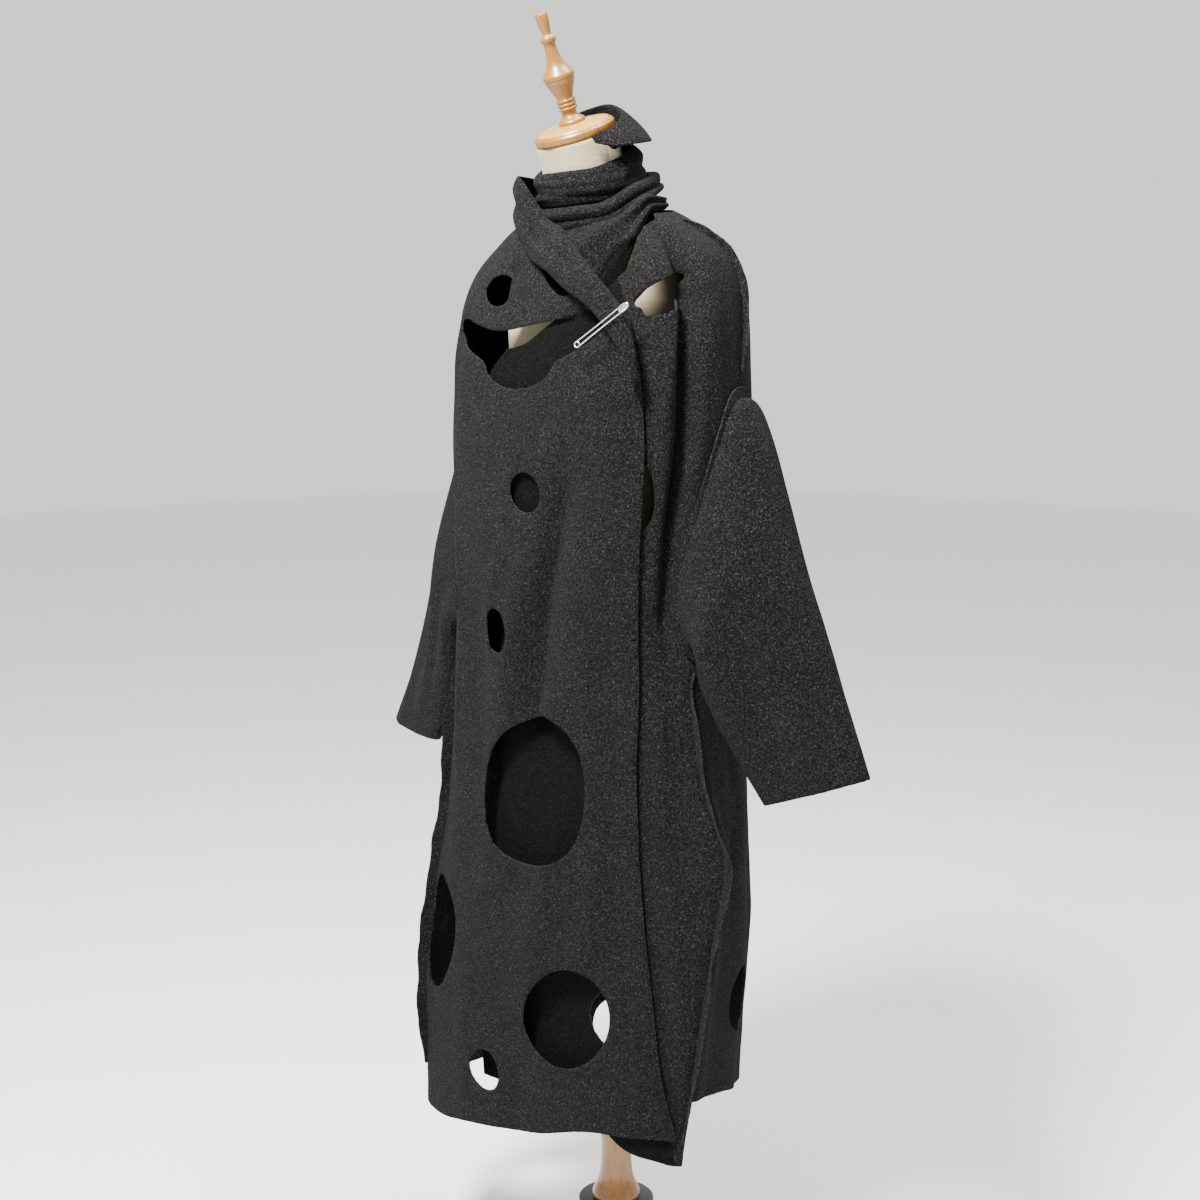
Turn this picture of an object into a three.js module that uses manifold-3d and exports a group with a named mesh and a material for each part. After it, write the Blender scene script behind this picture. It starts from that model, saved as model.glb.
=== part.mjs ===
// Wool wrap coat with round cut-outs and a scarf collar, standing on a limbless form and pole.
// Millimetres, +Z up, the floor at Z = 0, the pole's axis at X = Y = 0.
// The wearer faces -Y and the wearer's left is +X.
// Angles go round the body in degrees: 0 is the wearer's left, 90 the back, 180 the right, 270 the front.
// Fall is the distance down the cloth from the neck.
import * as THREE from 'three';
import { mergeVertices } from 'three/addons/utils/BufferGeometryUtils.js';
import Module from 'manifold-3d';

const wasm = await Module();
wasm.setup();

// Driving sizes
const CLOTH = 3; // wall of boiled wool
const SEAM_GAP = 0.4; // clearance where two panels meet
const UNDERLAP = 8; // how far the left front lies inside the right front
const LAP_BLEND = 10; // degrees over which the left front comes out from under the lap
const UNDER_HANG = 18; // how much deeper the left front hangs behind the lower right front
const ALLOWANCE = 15; // width of the raised seam allowances
const ALLOWANCE_WALL = 3;
const ALLOWANCE_CLEAR = 0.8; // how far an allowance stands in from its panel's edge
const SHOULDER_ALLOWANCE = 9;
const ARMHOLE = { angle: 358, lean: 12, reach: 19, fall: 463, drop: 155, square: 2.4 };
const ARMHOLE_LIFT = 4.9; // sleeve head's height over the panels
const NECK_BASE = { y: -35, z: 1450 };
const NECK_LEAN = -0.395; // forward lean of the neck for each millimetre of height
const CAP_TILT = 23; // degrees that the neck cap leans forward
const PIN = { wire: 1.3, width: 9, head: 4.4 };
const PLATE = { radius: 165, height: 12, bevel: 2 };

const FINISH = {
  wool: { color: 0x2b2a2b, roughness: 0.95, metalness: 0 },
  linen: { color: 0xd9d0ba, roughness: 0.85, metalness: 0 },
  wood: { color: 0xd8b078, roughness: 0.4, metalness: 0 },
  steel: { color: 0xc9cacb, roughness: 0.25, metalness: 1 },
  dark: { color: 0x2a2724, roughness: 0.5, metalness: 1 },
};

// One object for each row, keyed by the column names.
function table(columns, rows) {
  const names = columns.split(' ');
  return rows.map((row) => Object.fromEntries(names.map((name, index) => [name, row[index]])));
}

// Plan of the body at each fall: centre, half widths, squareness, twist and the heights of its sides.
const BODY = table('fall x y left right front back corner twist sideZ frontZ backZ', [
  [0, 0, -55, 96, 92, 66, 78, 2.0, 0, 1466, 1434, 1488],
  [60, 0, -50, 152, 142, 90, 106, 2.1, 0, 1440, 1388, 1462],
  [130, -2, -48, 210, 186, 110, 122, 2.3, 0, 1402, 1334, 1410],
  [180, -4, -48, 232, 202, 118, 128, 2.4, 0, 1356, 1288, 1358],
  [250, -6, -50, 243, 208, 122, 130, 2.5, 0, 1286, 1226, 1286],
  [330, -6, -50, 246, 210, 122, 130, 2.5, 1, 1206, 1158, 1202],
  [420, -6, -50, 236, 206, 120, 128, 2.5, 2, 1112, 1078, 1106],
  [520, -6, -50, 224, 202, 118, 128, 2.5, 3, 1010, 988, 1006],
  [620, -4, -48, 216, 204, 116, 130, 2.5, 4, 906, 896, 902],
  [740, 0, -46, 218, 214, 114, 134, 2.6, 5, 780, 776, 778],
  [860, 0, -44, 226, 228, 112, 138, 2.6, 6, 655, 655, 655],
  [1000, 0, -44, 224, 252, 110, 142, 2.7, 7, 512, 512, 512],
  [1130, -2, -44, 216, 268, 108, 142, 2.7, 7, 380, 380, 380],
  [1300, -4, -44, 208, 268, 106, 140, 2.7, 7, 216, 216, 216],
]);

// Soft ridges (depth above 0) and troughs, each from its top to its bottom end; width in degrees.
const FOLDS = table('angle fall toAngle toFall width depth', [
  [287, 400, 268, 720, 9, -14],
  [279, 440, 256, 660, 7, 6],
  [272, 900, 266, 1040, 9, 7],
  [341, 110, 328, 590, 6.5, -26],
  [199, 150, 211, 560, 6.5, -18],
  [222, 480, 220, 760, 7, 5],
  [238, 560, 236, 900, 9, -9],
  [305, 620, 300, 1180, 9, -7],
  [60, 260, 52, 760, 10, -16],
  [92, 200, 96, 640, 11, 9],
  [126, 300, 130, 820, 10, -14],
  [72, 800, 66, 1240, 10, 12],
  [110, 780, 114, 1240, 11, -12],
  [146, 860, 150, 1260, 9, 10],
  [30, 860, 26, 1220, 8, -9],
]);
// The side seams stand out as ridges: their height at each fall, on the left and the right.
const SEAM_RIDGE = table('fall left right', [
  [620, 0, 0], [700, 7, 4], [790, 20, 8], [869, 36, 10], [960, 22, 10], [1079, 14, 10], [1300, 12, 10],
]);
const RIDGE_WIDTH = 8.5;
const FOLD_END = 70; // length over which a fold fades at each end

// Side seam of the left below the armhole, and the shoulder seam above it.
const SEAM = table('fall angle', [
  [0, 19], [150, 21], [270, 14], [300, 10], [625, 344], [660, 338], [740, 336], [800, 337], [869, 340],
  [974, 337], [1079, 334], [1300, 328],
]);
const LAP_EDGE = table('fall angle', [
  [0, 309], [170, 312], [266, 315.5], [452, 315], [620, 314.5], [770, 310], [860, 309], [923, 309.5],
  [1001, 311], [1079, 314.5], [1160, 318.5], [1250, 325], [1300, 327],
]);
const UNDER_EDGE = table('fall angle', [
  [0, 296], [120, 275], [228, 250], [400, 240], [700, 238], [900, 240], [1100, 244], [1300, 248],
]);

// Upper and lower edges of the three body panels.
const RIGHT_TOP = table('angle fall', [
  [160, 22], [215, 22], [240, 26], [262, 38], [270, 54], [278, 88], [286, 114], [294, 118], [300, 130],
  [305, 152], [310, 172], [330, 186],
]);
const LEFT_TOP = table('angle fall', [
  [250, 228], [262, 205], [275, 190], [288, 178], [300, 162], [304, 136], [308, 114], [318, 98],
  [327, 67], [340, 34], [358, 22], [385, 22],
]);
const BACK_TOP = table('angle fall', [[10, 22], [45, 30], [90, 40], [135, 30], [170, 22]]);
const RIGHT_HEM = table('angle fall', [
  [190, 1286], [240, 1288], [265, 1277], [294, 1250], [306, 1247], [330, 1244],
]);
const LEFT_HEM = table('angle fall', [
  [240, 1232], [280, 1236], [291, 1244], [297, 1260], [303, 1271], [310, 1277], [326, 1283], [385, 1283],
]);
const BACK_HEM = table('angle fall', [
  [-34, 1186], [0, 1193], [24, 1206], [60, 1215], [90, 1240], [120, 1274], [160, 1284], [200, 1286],
]);

// Cut-outs: size across and down the cloth, lean, and one small nick in the rim.
const CUTS = table('panel angle fall width height lean nick nickAt', [
  ['right', 246, 104, 62, 54, 0, 0, 0],
  ['right', 264, 190, 292, 90, 0, 0, 0],
  ['right', 271, 390, 58, 62, 0, 0, 0],
  ['right', 252.8, 596, 52, 62, 0, 0, 0],
  ['right', 219, 557, 44, 74, 0, 0, 0],
  ['right', 266, 804, 186, 196, 0, 0.08, 80],
  ['right', 281.5, 1102, 130, 140, 0, 0.05, 350],
  ['right', 247.5, 1210, 54, 62, 0, 0, 0],
  ['right', 219.5, 1034, 84, 166, 0, 0, 0],
  ['left', 308, 408, 86, 88, 0, 0, 0],
  ['left', 326, 160, 106, 42, -28, 0, 0],
  ['left', 303, 1094, 92, 88, 0, 0, 0],
  ['back', 19, 1073, 84, 98, 0, 0, 0],
  ['back', 100, 1222, 122, 122, 0, 0, 0],
  ['back', 118, 420, 64, 66, 0, 0, 0],
  ['back', 62, 640, 92, 96, 0, 0, 0],
  ['back', 132, 850, 150, 158, 0, 0.1, 260],
  ['back', 78, 970, 60, 62, 0, 0, 0],
]);
const CUT_POINTS = 14;
const CUT_REACH = 18; // half length of a cutter through the wall

// Each sleeve from armhole (0) to hem (1): its under edge, its outer edge and its fullness.
const SLEEVE_COLUMNS = 'at underX underY underZ outerX outerY outerZ full';
const LEFT_SLEEVE = table(SLEEVE_COLUMNS, [
  [0.0, 224, -90, 914, 252, -8, 1236, 98],
  [0.14, 230, -86, 884, 276, -8, 1178, 98],
  [0.4, 248, -70, 826, 326, -6, 1036, 80],
  [0.7, 274, -50, 768, 382, -3, 893, 52],
  [1.0, 298, -36, 724, 430, 0, 772, 34],
]);
const RIGHT_SLEEVE = table(SLEEVE_COLUMNS, [
  [0.0, -224, -86, 914, -226, -14, 1232, 92],
  [0.14, -230, -86, 882, -250, -18, 1174, 94],
  [0.4, -242, -84, 822, -300, -26, 1032, 78],
  [0.7, -266, -80, 768, -354, -36, 882, 50],
  [1.0, -292, -78, 727, -424, -46, 738, 32],
]);
const SLEEVE_HEAD = 0.2; // share of the sleeve over which it leaves the armhole's shape
const SEAM_SHARE = 0.06; // share of the sleeve that lies on the panels as the armhole seam
const SEAM_GROW = 1.075; // the seam's outer edge over the armhole's size
const HEAD_GROW = 0.985; // and the head's root, just inside it
const SEAM_RISE = 1.5; // the root's height over the seam's outer edge
const HEAD_LIFT = 26; // how far the head swells out before it turns into a tube

// Scarf stretches round the neck: radius and height of the upper and lower edges, and how far they swell.
const SCARF_COLUMNS = 'angle topR topZ lowR lowZ swell';
const RING_STEPS = 24; // columns round each turn
const FLAP_LEG = 26; // how far the flap's inner leg goes down behind its crease
const SCARF_TOP = table(SCARF_COLUMNS, [
  [0, 66, 1528, 72, 1482, 4], [45, 74, 1550, 76, 1504, 4], [90, 76, 1560, 77, 1506, 3],
  [135, 74, 1552, 76, 1494, 3], [180, 64, 1530, 72, 1478, 4], [225, 60, 1512, 68, 1468, 4],
  [270, 60, 1510, 68, 1466, 4], [315, 61, 1513, 70, 1470, 5],
]);
const SCARF_MIDDLE = table(SCARF_COLUMNS, [
  [0, 80, 1496, 86, 1470, 7], [22, 83, 1506, 87, 1482, 7], [45, 86, 1515, 89, 1492, 8],
  [90, 84, 1520, 87, 1500, 6], [135, 83, 1508, 86, 1488, 5], [180, 80, 1488, 85, 1460, 5],
  [225, 76, 1472, 82, 1440, 5], [270, 76, 1466, 82, 1432, 7], [315, 78, 1470, 86, 1436, 8],
]);
const SCARF_LOW = table(SCARF_COLUMNS, [
  [0, 97, 1482, 101, 1460, 3], [22, 96, 1483, 97, 1466, 3], [45, 90, 1486, 91, 1473, 2],
  [90, 87, 1494, 88, 1482, 1], [135, 88, 1482, 89, 1472, 1], [180, 96, 1464, 98, 1450, 2],
  [225, 91, 1446, 95, 1424, 3], [255, 92, 1438, 108, 1392, 3], [280, 94, 1436, 154, 1326, 3],
  [300, 97, 1440, 172, 1310, 4], [315, 99, 1446, 150, 1364, 4], [328, 99, 1452, 134, 1404, 4],
  [343, 98, 1466, 114, 1438, 3],
]);
const SCARF_FLAP = table(SCARF_COLUMNS, [
  [4, 63, 1564, 88, 1562, 2], [25, 66, 1578, 96, 1562, 3], [55, 70, 1595, 98, 1566, 5],
  [90, 72, 1607, 95, 1568, 7], [120, 70, 1600, 92, 1564, 6], [150, 66, 1576, 84, 1556, 4],
]);
// The crossing end of the scarf, from behind the neck to its tail under the pin.
const SCARF_END = table('topX topY topZ lowX lowY lowZ swell', [
  [-62, 28, 1506, -78, 44, 1486, 2],
  [-98, -22, 1514, -108, -12, 1472, 4],
  [-86, -84, 1514, -100, -70, 1464, 5],
  [-54, -128, 1508, -76, -110, 1442, 6],
  [-14, -134, 1474, -42, -134, 1424, 6],
  [10, -137, 1452, -14, -147, 1404, 5],
  [44, -143, 1438, 33, -163, 1386, 6],
  [62, -146, 1422, 72, -168, 1362, 6],
  [106, -156, 1388, 107, -171, 1345, 5],
  [143, -161, 1359, 133, -172, 1328, 4],
  [172, -159, 1326, 157, -170, 1303, 3],
  [187, -159, 1286, 171, -168, 1282, 2],
  [194, -159, 1248, 183, -165, 1247, 1],
]);
const PIN_ENDS = { from: [112, -186, 1289], to: [186, -170, 1338] };

// The form's body: height, centre, half width, half depth and forward tilt of each section.
const TORSO = table('z y width depth tilt', [
  [802, -34, 122, 74, 0], [810, -34, 132, 82, 0], [880, -34, 138, 82, 0], [960, -34, 126, 80, 0],
  [1050, -36, 106, 72, 0], [1140, -38, 114, 80, 0], [1220, -41, 124, 90, 0], [1300, -42, 130, 88, 0],
  [1350, -42, 140, 78, 0], [1388, -42, 138, 66, 0], [1416, -40, 108, 56, 2], [1438, -38, 74, 52, 5],
  [1462, -43, 57, 50, 10], [1506, -57, 52, 51, 17], [1546, -70, 51, 51, 22], [1560, -75, 51, 51, 23],
]);
const TORSO_CORNER = 2.3;
const TORSO_STEPS = 24;

// Turned pieces: radius and height along each one's own axis.
const CAP_PROFILE = table('r z', [
  [0, 0], [51, 0], [53.5, 3], [53.5, 9], [51, 12], [48, 12.5], [47, 14.5], [37, 16.5], [35, 15.5], [24, 18],
  [0, 18],
]);
const FINIAL_PROFILE = table('r z', [
  [0, 0], [18, 0], [17, 4], [11, 9], [9.5, 15], [12.5, 19], [11, 22], [12.5, 25], [11, 28], [12.5, 31],
  [11, 35], [16, 45], [21, 56], [21.5, 61], [18, 66], [11, 72], [8, 79], [8, 87], [10, 94], [11, 98],
  [8.5, 102], [6.5, 107], [8, 113], [10, 121], [9.5, 128], [6, 136], [0, 140],
]);
const COLUMN_PROFILE = table('r z', [
  [0, 100], [33, 100], [34, 106], [31, 114], [25, 128], [22, 148], [21, 176], [23, 196], [26, 206],
  [24, 214], [17, 220], [12, 228], [10, 236], [0, 236],
]);
const FLANGE = { radius: 53, from: 92, to: 99.7 };
const STEM = { radius: 15, from: PLATE.height + 0.3, to: FLANGE.from - 0.3 };
const ROD = { radius: 8, from: 236.3, to: 801.7 };
const NECK_SEAT = 0.3; // clearance between stacked pieces

const group = new THREE.Group();
group.name = 'wool_cape_coat';

const radians = THREE.MathUtils.degToRad;
const clamp01 = (value) => Math.min(1, Math.max(0, value));
const smooth = (value) => clamp01(value) ** 2 * (3 - 2 * clamp01(value));
const mix = (from, to, share) => from + (to - from) * share;

// A column's value at a place, on a cubic through the rows that never overshoots them.
function along(rows, key, column, at) {
  const last = rows.length - 1;
  const place = Math.min(rows[last][key], Math.max(rows[0][key], at));
  let index = 0;
  while (index < last - 1 && place > rows[index + 1][key]) index += 1;
  const slope = (row) => (rows[row + 1][column] - rows[row][column]) / (rows[row + 1][key] - rows[row][key]);
  const tangent = (row) => {
    if (row === 0) return slope(0);
    if (row === last) return slope(last - 1);
    const before = slope(row - 1);
    const after = slope(row);
    return before * after <= 0 ? 0 : 2 / (1 / before + 1 / after);
  };
  const step = rows[index + 1][key] - rows[index][key];
  const t = (place - rows[index][key]) / step;
  return (2 * t ** 3 - 3 * t ** 2 + 1) * rows[index][column]
    + (t ** 3 - 2 * t ** 2 + t) * step * tangent(index)
    + (3 * t ** 2 - 2 * t ** 3) * rows[index + 1][column]
    + (t ** 3 - t ** 2) * step * tangent(index + 1);
}

// Height of the folds over the plain body at one place.
function foldHeight(angle, fall) {
  let height = 0;
  for (const fold of FOLDS) {
    const share = clamp01((fall - fold.fall) / (fold.toFall - fold.fall));
    const crest = mix(fold.angle, fold.toAngle, share);
    const aside = ((((angle - crest) % 360) + 540) % 360) - 180;
    const inside = Math.min(fold.toFall - FOLD_END / 2, Math.max(fold.fall + FOLD_END / 2, fall));
    const fade = Math.exp(-(((fall - inside) / FOLD_END) ** 2));
    height += fold.depth * Math.exp(-((aside / fold.width) ** 2)) * fade;
  }
  if (fall <= SEAM_RIDGE[0].fall) return height;
  for (const [side, seam] of [['left', leftSeam(fall, 'front')], ['right', rightSeam(fall, 'front')]]) {
    const aside = ((((angle - seam) % 360) + 540) % 360) - 180;
    height += along(SEAM_RIDGE, 'fall', side, fall) * Math.exp(-((aside / RIDGE_WIDTH) ** 2));
  }
  return height;
}

// A point of the body's middle surface.
function bodyPoint(angle, fall, folded = true) {
  const read = (column) => along(BODY, 'fall', column, fall);
  const cos = Math.cos(radians(angle));
  const sin = Math.sin(radians(angle));
  const corner = read('corner');
  const square = (Math.abs(cos) ** corner + Math.abs(sin) ** corner) ** (-1 / corner);
  let x = (cos >= 0 ? read('left') : read('right')) * cos * square;
  let y = (sin >= 0 ? read('back') : read('front')) * sin * square;
  if (folded) {
    const swell = 1 + foldHeight(angle, fall) / Math.hypot(x, y);
    x *= swell;
    y *= swell;
  }
  const twist = radians(read('twist'));
  return new THREE.Vector3(
    read('x') + x * Math.cos(twist) - y * Math.sin(twist),
    read('y') + x * Math.sin(twist) + y * Math.cos(twist),
    read('sideZ') * cos ** 2 + (sin > 0 ? read('backZ') : read('frontZ')) * sin ** 2,
  );
}

// The outward unit normal of a surface given by two numbers.
function normalOf(surface, a, b, stepA, stepB) {
  const acrossA = surface(a + stepA, b).sub(surface(a - stepA, b));
  const acrossB = surface(a, b + stepB).sub(surface(a, b - stepB));
  return acrossB.cross(acrossA).normalize();
}
const plainBody = (angle, fall) => bodyPoint(angle, fall, false);
const bodyNormal = (angle, fall) => normalOf(bodyPoint, angle, fall, 0.5, 2);
const plainNormal = (angle, fall) => normalOf(plainBody, angle, fall, 0.5, 2);

// The left front lies inside the right front's lap and hangs deeper towards its free edge.
function leftInset(angle, fall) {
  const past = (angle - along(LAP_EDGE, 'fall', 'angle', fall) - 2) / LAP_BLEND;
  const hang = smooth((fall - 330) / 300) * smooth((310 - angle) / 30);
  return -UNDERLAP * (1 - smooth(past)) - UNDER_HANG * hang;
}
const LAYERS = {
  right: (angle, fall) => bodyPoint(angle, fall),
  back: (angle, fall) => bodyPoint(angle, fall),
  left: (angle, fall) => bodyPoint(angle, fall)
    .addScaledVector(plainNormal(angle, fall), leftInset(angle, fall)),
};

// Seams: side 'front' or 'back' of the left seam; the right seam is its mirror image.
function armholeHalf(fall) {
  const share = Math.abs((fall - ARMHOLE.fall) / ARMHOLE.drop);
  return share >= 1 ? null : ARMHOLE.reach * (1 - share ** ARMHOLE.square) ** (1 / ARMHOLE.square);
}
function leftSeam(fall, side) {
  const half = armholeHalf(fall);
  if (half !== null) {
    const centre = ARMHOLE.angle - (ARMHOLE.lean * (fall - ARMHOLE.fall)) / ARMHOLE.drop;
    return centre + (side === 'front' ? -half : half);
  }
  const lower = SEAM.filter((row) => row.fall > ARMHOLE.fall);
  const upper = SEAM.filter((row) => row.fall < ARMHOLE.fall);
  return fall > ARMHOLE.fall
    ? along(lower, 'fall', 'angle', fall)
    : along(upper, 'fall', 'angle', fall) + 360;
}
function rightSeam(fall, side) {
  return 540 - leftSeam(fall, side);
}

// A closed mesh from a geometry whose points have been placed.
function closed(geometry) {
  geometry.deleteAttribute('normal');
  geometry.deleteAttribute('uv');
  const merged = mergeVertices(geometry, 1e-4);
  const position = merged.getAttribute('position');
  const index = Array.from(merged.index.array);
  const kept = [];
  for (let face = 0; face < index.length; face += 3) {
    const [a, b, c] = index.slice(face, face + 3);
    if (a !== b && b !== c && c !== a) kept.push([a, b, c]);
  }
  const at = (vertex) => new THREE.Vector3().fromBufferAttribute(position, vertex);
  const volume = kept.reduce((sum, [a, b, c]) => sum + at(a).dot(at(b).cross(at(c))), 0);
  merged.setIndex(kept.flatMap(([a, b, c]) => (volume < 0 ? [a, c, b] : [a, b, c])));
  return merged;
}

function toManifold(geometry) {
  return new wasm.Manifold(new wasm.Mesh({
    numProp: 3,
    vertProperties: Float32Array.from(geometry.getAttribute('position').array),
    triVerts: Uint32Array.from(geometry.index.array),
  }));
}

function fromManifold(manifold) {
  const mesh = manifold.getMesh();
  const geometry = new THREE.BufferGeometry();
  geometry.setAttribute('position', new THREE.BufferAttribute(Float32Array.from(mesh.vertProperties), 3));
  geometry.setIndex(Array.from(mesh.triVerts));
  return geometry;
}

function addPiece(name, finish, geometry) {
  geometry.computeVertexNormals();
  const mesh = new THREE.Mesh(geometry, new THREE.MeshStandardMaterial(FINISH[finish]));
  mesh.name = name;
  group.add(mesh);
}

// A place moved out from its surface; a place that knows its own offsets gives them itself.
function offset(place, s, t, distance) {
  if (place.length === 3) return place(s, t, distance);
  return place(s, t).addScaledVector(normalOf(place, s, t, 0.004, 0.004), distance);
}

// A wall of cloth: place(s, t) gives its middle surface, s and t going from 0 to 1.
// Both faces share one way of splitting the grid, so they never cross.
// A wall that wraps closes on itself in s.
function wall(columns, rows, place, wraps = false, thickness = CLOTH) {
  const sheet = new THREE.PlaneGeometry(1, 1, columns, rows);
  const grid = sheet.getAttribute('position');
  const count = grid.count;
  const position = new THREE.BufferAttribute(new Float32Array(count * 6), 3);
  for (let vertex = 0; vertex < count; vertex += 1) {
    const s = grid.getX(vertex) + 0.5;
    const t = 0.5 - grid.getY(vertex);
    for (const [first, side] of [[0, 0.5], [count, -0.5]]) {
      const point = offset(place, wraps && s > 0.9999 ? 0 : s, t, side * thickness);
      position.setXYZ(first + vertex, point.x, point.y, point.z);
    }
  }
  const at = (column, row) => row * (columns + 1) + column;
  const steps = (number, pick) => Array.from({ length: number }, (_, step) => pick(step));
  const rims = [
    steps(columns, (step) => [at(step, rows), at(step + 1, rows)]),
    steps(columns, (step) => [at(step + 1, 0), at(step, 0)]),
  ];
  if (!wraps) {
    rims.push(steps(rows, (step) => [at(0, step), at(0, step + 1)]));
    rims.push(steps(rows, (step) => [at(columns, step + 1), at(columns, step)]));
  }
  const outer = Array.from(sheet.index.array);
  const inner = outer.map((vertex) => vertex + count).reverse();
  const rim = rims.flat().flatMap(([from, to]) => [to, from, from + count, to, from + count, to + count]);
  const geometry = new THREE.BufferGeometry();
  geometry.setAttribute('position', position);
  geometry.setIndex([...outer, ...inner, ...rim]);
  return closed(geometry);
}

// The cutter for one cut-out: its rim follows the cloth and it runs straight through the wall.
function cutter(cut) {
  const profile = [[0, -1], [0.5, -1], [1, -1], [1, 0], [1, 1], [0.5, 1], [0, 1]];
  const geometry = new THREE.LatheGeometry(profile.map(([r, z]) => new THREE.Vector2(r, z)), CUT_POINTS);
  const position = geometry.getAttribute('position');
  const scale = perDegree(cut.angle, cut.fall);
  for (let vertex = 0; vertex < position.count; vertex += 1) {
    const radius = Math.hypot(position.getX(vertex), position.getZ(vertex));
    const turn = Math.atan2(position.getZ(vertex), position.getX(vertex));
    const aside = (((THREE.MathUtils.radToDeg(turn) - cut.nickAt) % 360) + 540) % 360 - 180;
    const reach = radius * (1 + cut.nick * Math.exp(-((aside / 16) ** 2)));
    const across = (Math.cos(turn) * cut.width * reach) / 2;
    const down = (Math.sin(turn) * cut.height * reach) / 2;
    const lean = radians(cut.lean);
    const angle = cut.angle + (across * Math.cos(lean) - down * Math.sin(lean)) / scale;
    const fall = cut.fall + across * Math.sin(lean) + down * Math.cos(lean);
    const point = LAYERS[cut.panel](angle, fall);
    point.addScaledVector(plainNormal(angle, fall), position.getY(vertex) * CUT_REACH);
    position.setXYZ(vertex, point.x, point.y, point.z);
  }
  return toManifold(closed(geometry));
}

// Rows of every body panel, so that panels share their points along a seam.
const ROWS = [
  0, 60, 120, 180, 230, 280, 308, 314, 335, 385, 463, 535, 580, 604, 618, 670, 740, 810, 869, 940, 1020,
  1100, 1180, 1240, 1290,
];
const TOP_ZONE = 280; // the neck edges are taken up above this fall
const HEM_ZONE = 1180; // and the hems below this one
const TOP_READ = 120; // a column's top edge is read at its angle on this fall
const HEM_READ = 1240; // and its hem on this one

// Fall of a row on a column whose own top and hem are given.
function rowFall(t, top, hem) {
  const place = t * (ROWS.length - 1);
  const index = Math.max(0, Math.min(ROWS.length - 2, Math.floor(place)));
  const fall = mix(ROWS[index], ROWS[index + 1], place - index);
  if (fall < TOP_ZONE) return mix(top, TOP_ZONE, fall / TOP_ZONE);
  const last = ROWS[ROWS.length - 1];
  return fall > HEM_ZONE ? mix(HEM_ZONE, hem, (fall - HEM_ZONE) / (last - HEM_ZONE)) : fall;
}

// A panel through its stations: each an angle for every fall, and the columns from the one before it.
function panelPlace(layer, stations, tops, hems) {
  const columns = stations.reduce((sum, station) => sum + station.columns, 0);
  const angleAt = (s, fall) => {
    let at = s * columns;
    let index = 1;
    while (index < stations.length - 1 && at > stations[index].columns) {
      at -= stations[index].columns;
      index += 1;
    }
    return mix(stations[index - 1].angle(fall), stations[index].angle(fall), at / stations[index].columns);
  };
  return (s, t, distance) => {
    const top = along(tops, 'angle', 'fall', angleAt(s, TOP_READ));
    const hem = along(hems, 'angle', 'fall', angleAt(s, HEM_READ));
    const fall = rowFall(t, top, hem);
    const angle = angleAt(s, fall);
    return LAYERS[layer](angle, fall).addScaledVector(bodyNormal(angle, fall), distance);
  };
}
const perDegree = (angle, fall) => plainBody(angle + 1, fall).distanceTo(plainBody(angle - 1, fall)) / 2;

// A raised seam allowance standing on a panel beside its seam.
function allowance(layer, seam, sign, from, to, width) {
  const falls = ROWS.filter((fall) => fall >= from && fall <= to);
  const place = (s, t) => {
    const at = Math.max(0, Math.min(falls.length - 1.0001, t * (falls.length - 1)));
    const fall = mix(falls[Math.floor(at)], falls[Math.floor(at) + 1], at % 1);
    const inward = ALLOWANCE_WALL / 2 + ALLOWANCE_CLEAR;
    const angle = seam(fall) + (sign * inward) / perDegree(seam(fall), fall);
    const fade = Math.min(1, 0.3 + 5 * Math.min(t, 1 - t));
    const height = mix(0, width * fade, s);
    return LAYERS[layer](angle, fall).addScaledVector(plainNormal(angle, fall), height);
  };
  return toManifold(wall(1, falls.length - 1, place, false, ALLOWANCE_WALL));
}

function panel(name, layer, stations, tops, hems, strips) {
  const columns = stations.reduce((sum, station) => sum + station.columns, 0);
  let solid = toManifold(wall(columns, ROWS.length - 1, panelPlace(layer, stations, tops, hems)));
  for (const strip of strips) solid = solid.add(strip);
  for (const cut of CUTS.filter((row) => row.panel === layer)) solid = solid.subtract(cutter(cut));
  addPiece(name, 'wool', fromManifold(solid));
}

// Each panel stops half a gap short of its seam.
const short = (angle, fall, sign) => angle + (sign * SEAM_GAP) / 2 / perDegree(angle, fall);
const leftFrontSeam = (fall) => short(leftSeam(fall, 'front'), fall, -1);
const rightFrontSeam = (fall) => short(rightSeam(fall, 'front'), fall, 1);
const lapEdge = (fall) => along(LAP_EDGE, 'fall', 'angle', fall);
panel('coat_front_right', 'right', [
  { angle: rightFrontSeam, columns: 0 },
  { angle: () => 213, columns: 3 },
  { angle: lapEdge, columns: 11 },
], RIGHT_TOP, RIGHT_HEM, [
  allowance('right', rightFrontSeam, 1, 640, 1250, ALLOWANCE),
  allowance('right', rightFrontSeam, 1, 50, 290, SHOULDER_ALLOWANCE),
]);
panel('coat_front_left', 'left', [
  { angle: (fall) => along(UNDER_EDGE, 'fall', 'angle', fall), columns: 0 },
  { angle: (fall) => lapEdge(fall) - 6, columns: 4 },
  { angle: (fall) => Math.min(331, leftFrontSeam(fall) - 6), columns: 4 },
  { angle: leftFrontSeam, columns: 4 },
], LEFT_TOP, LEFT_HEM, [
  allowance('left', leftFrontSeam, -1, 640, 1250, ALLOWANCE),
  allowance('left', leftFrontSeam, -1, 50, 290, SHOULDER_ALLOWANCE),
]);
panel('coat_back', 'back', [
  { angle: (fall) => short(leftSeam(fall, 'back'), fall, 1) - 360, columns: 0 },
  { angle: () => 27, columns: 3 },
  { angle: () => 153, columns: 9 },
  { angle: (fall) => short(rightSeam(fall, 'back'), fall, -1), columns: 3 },
], BACK_TOP, BACK_HEM, []);

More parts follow.
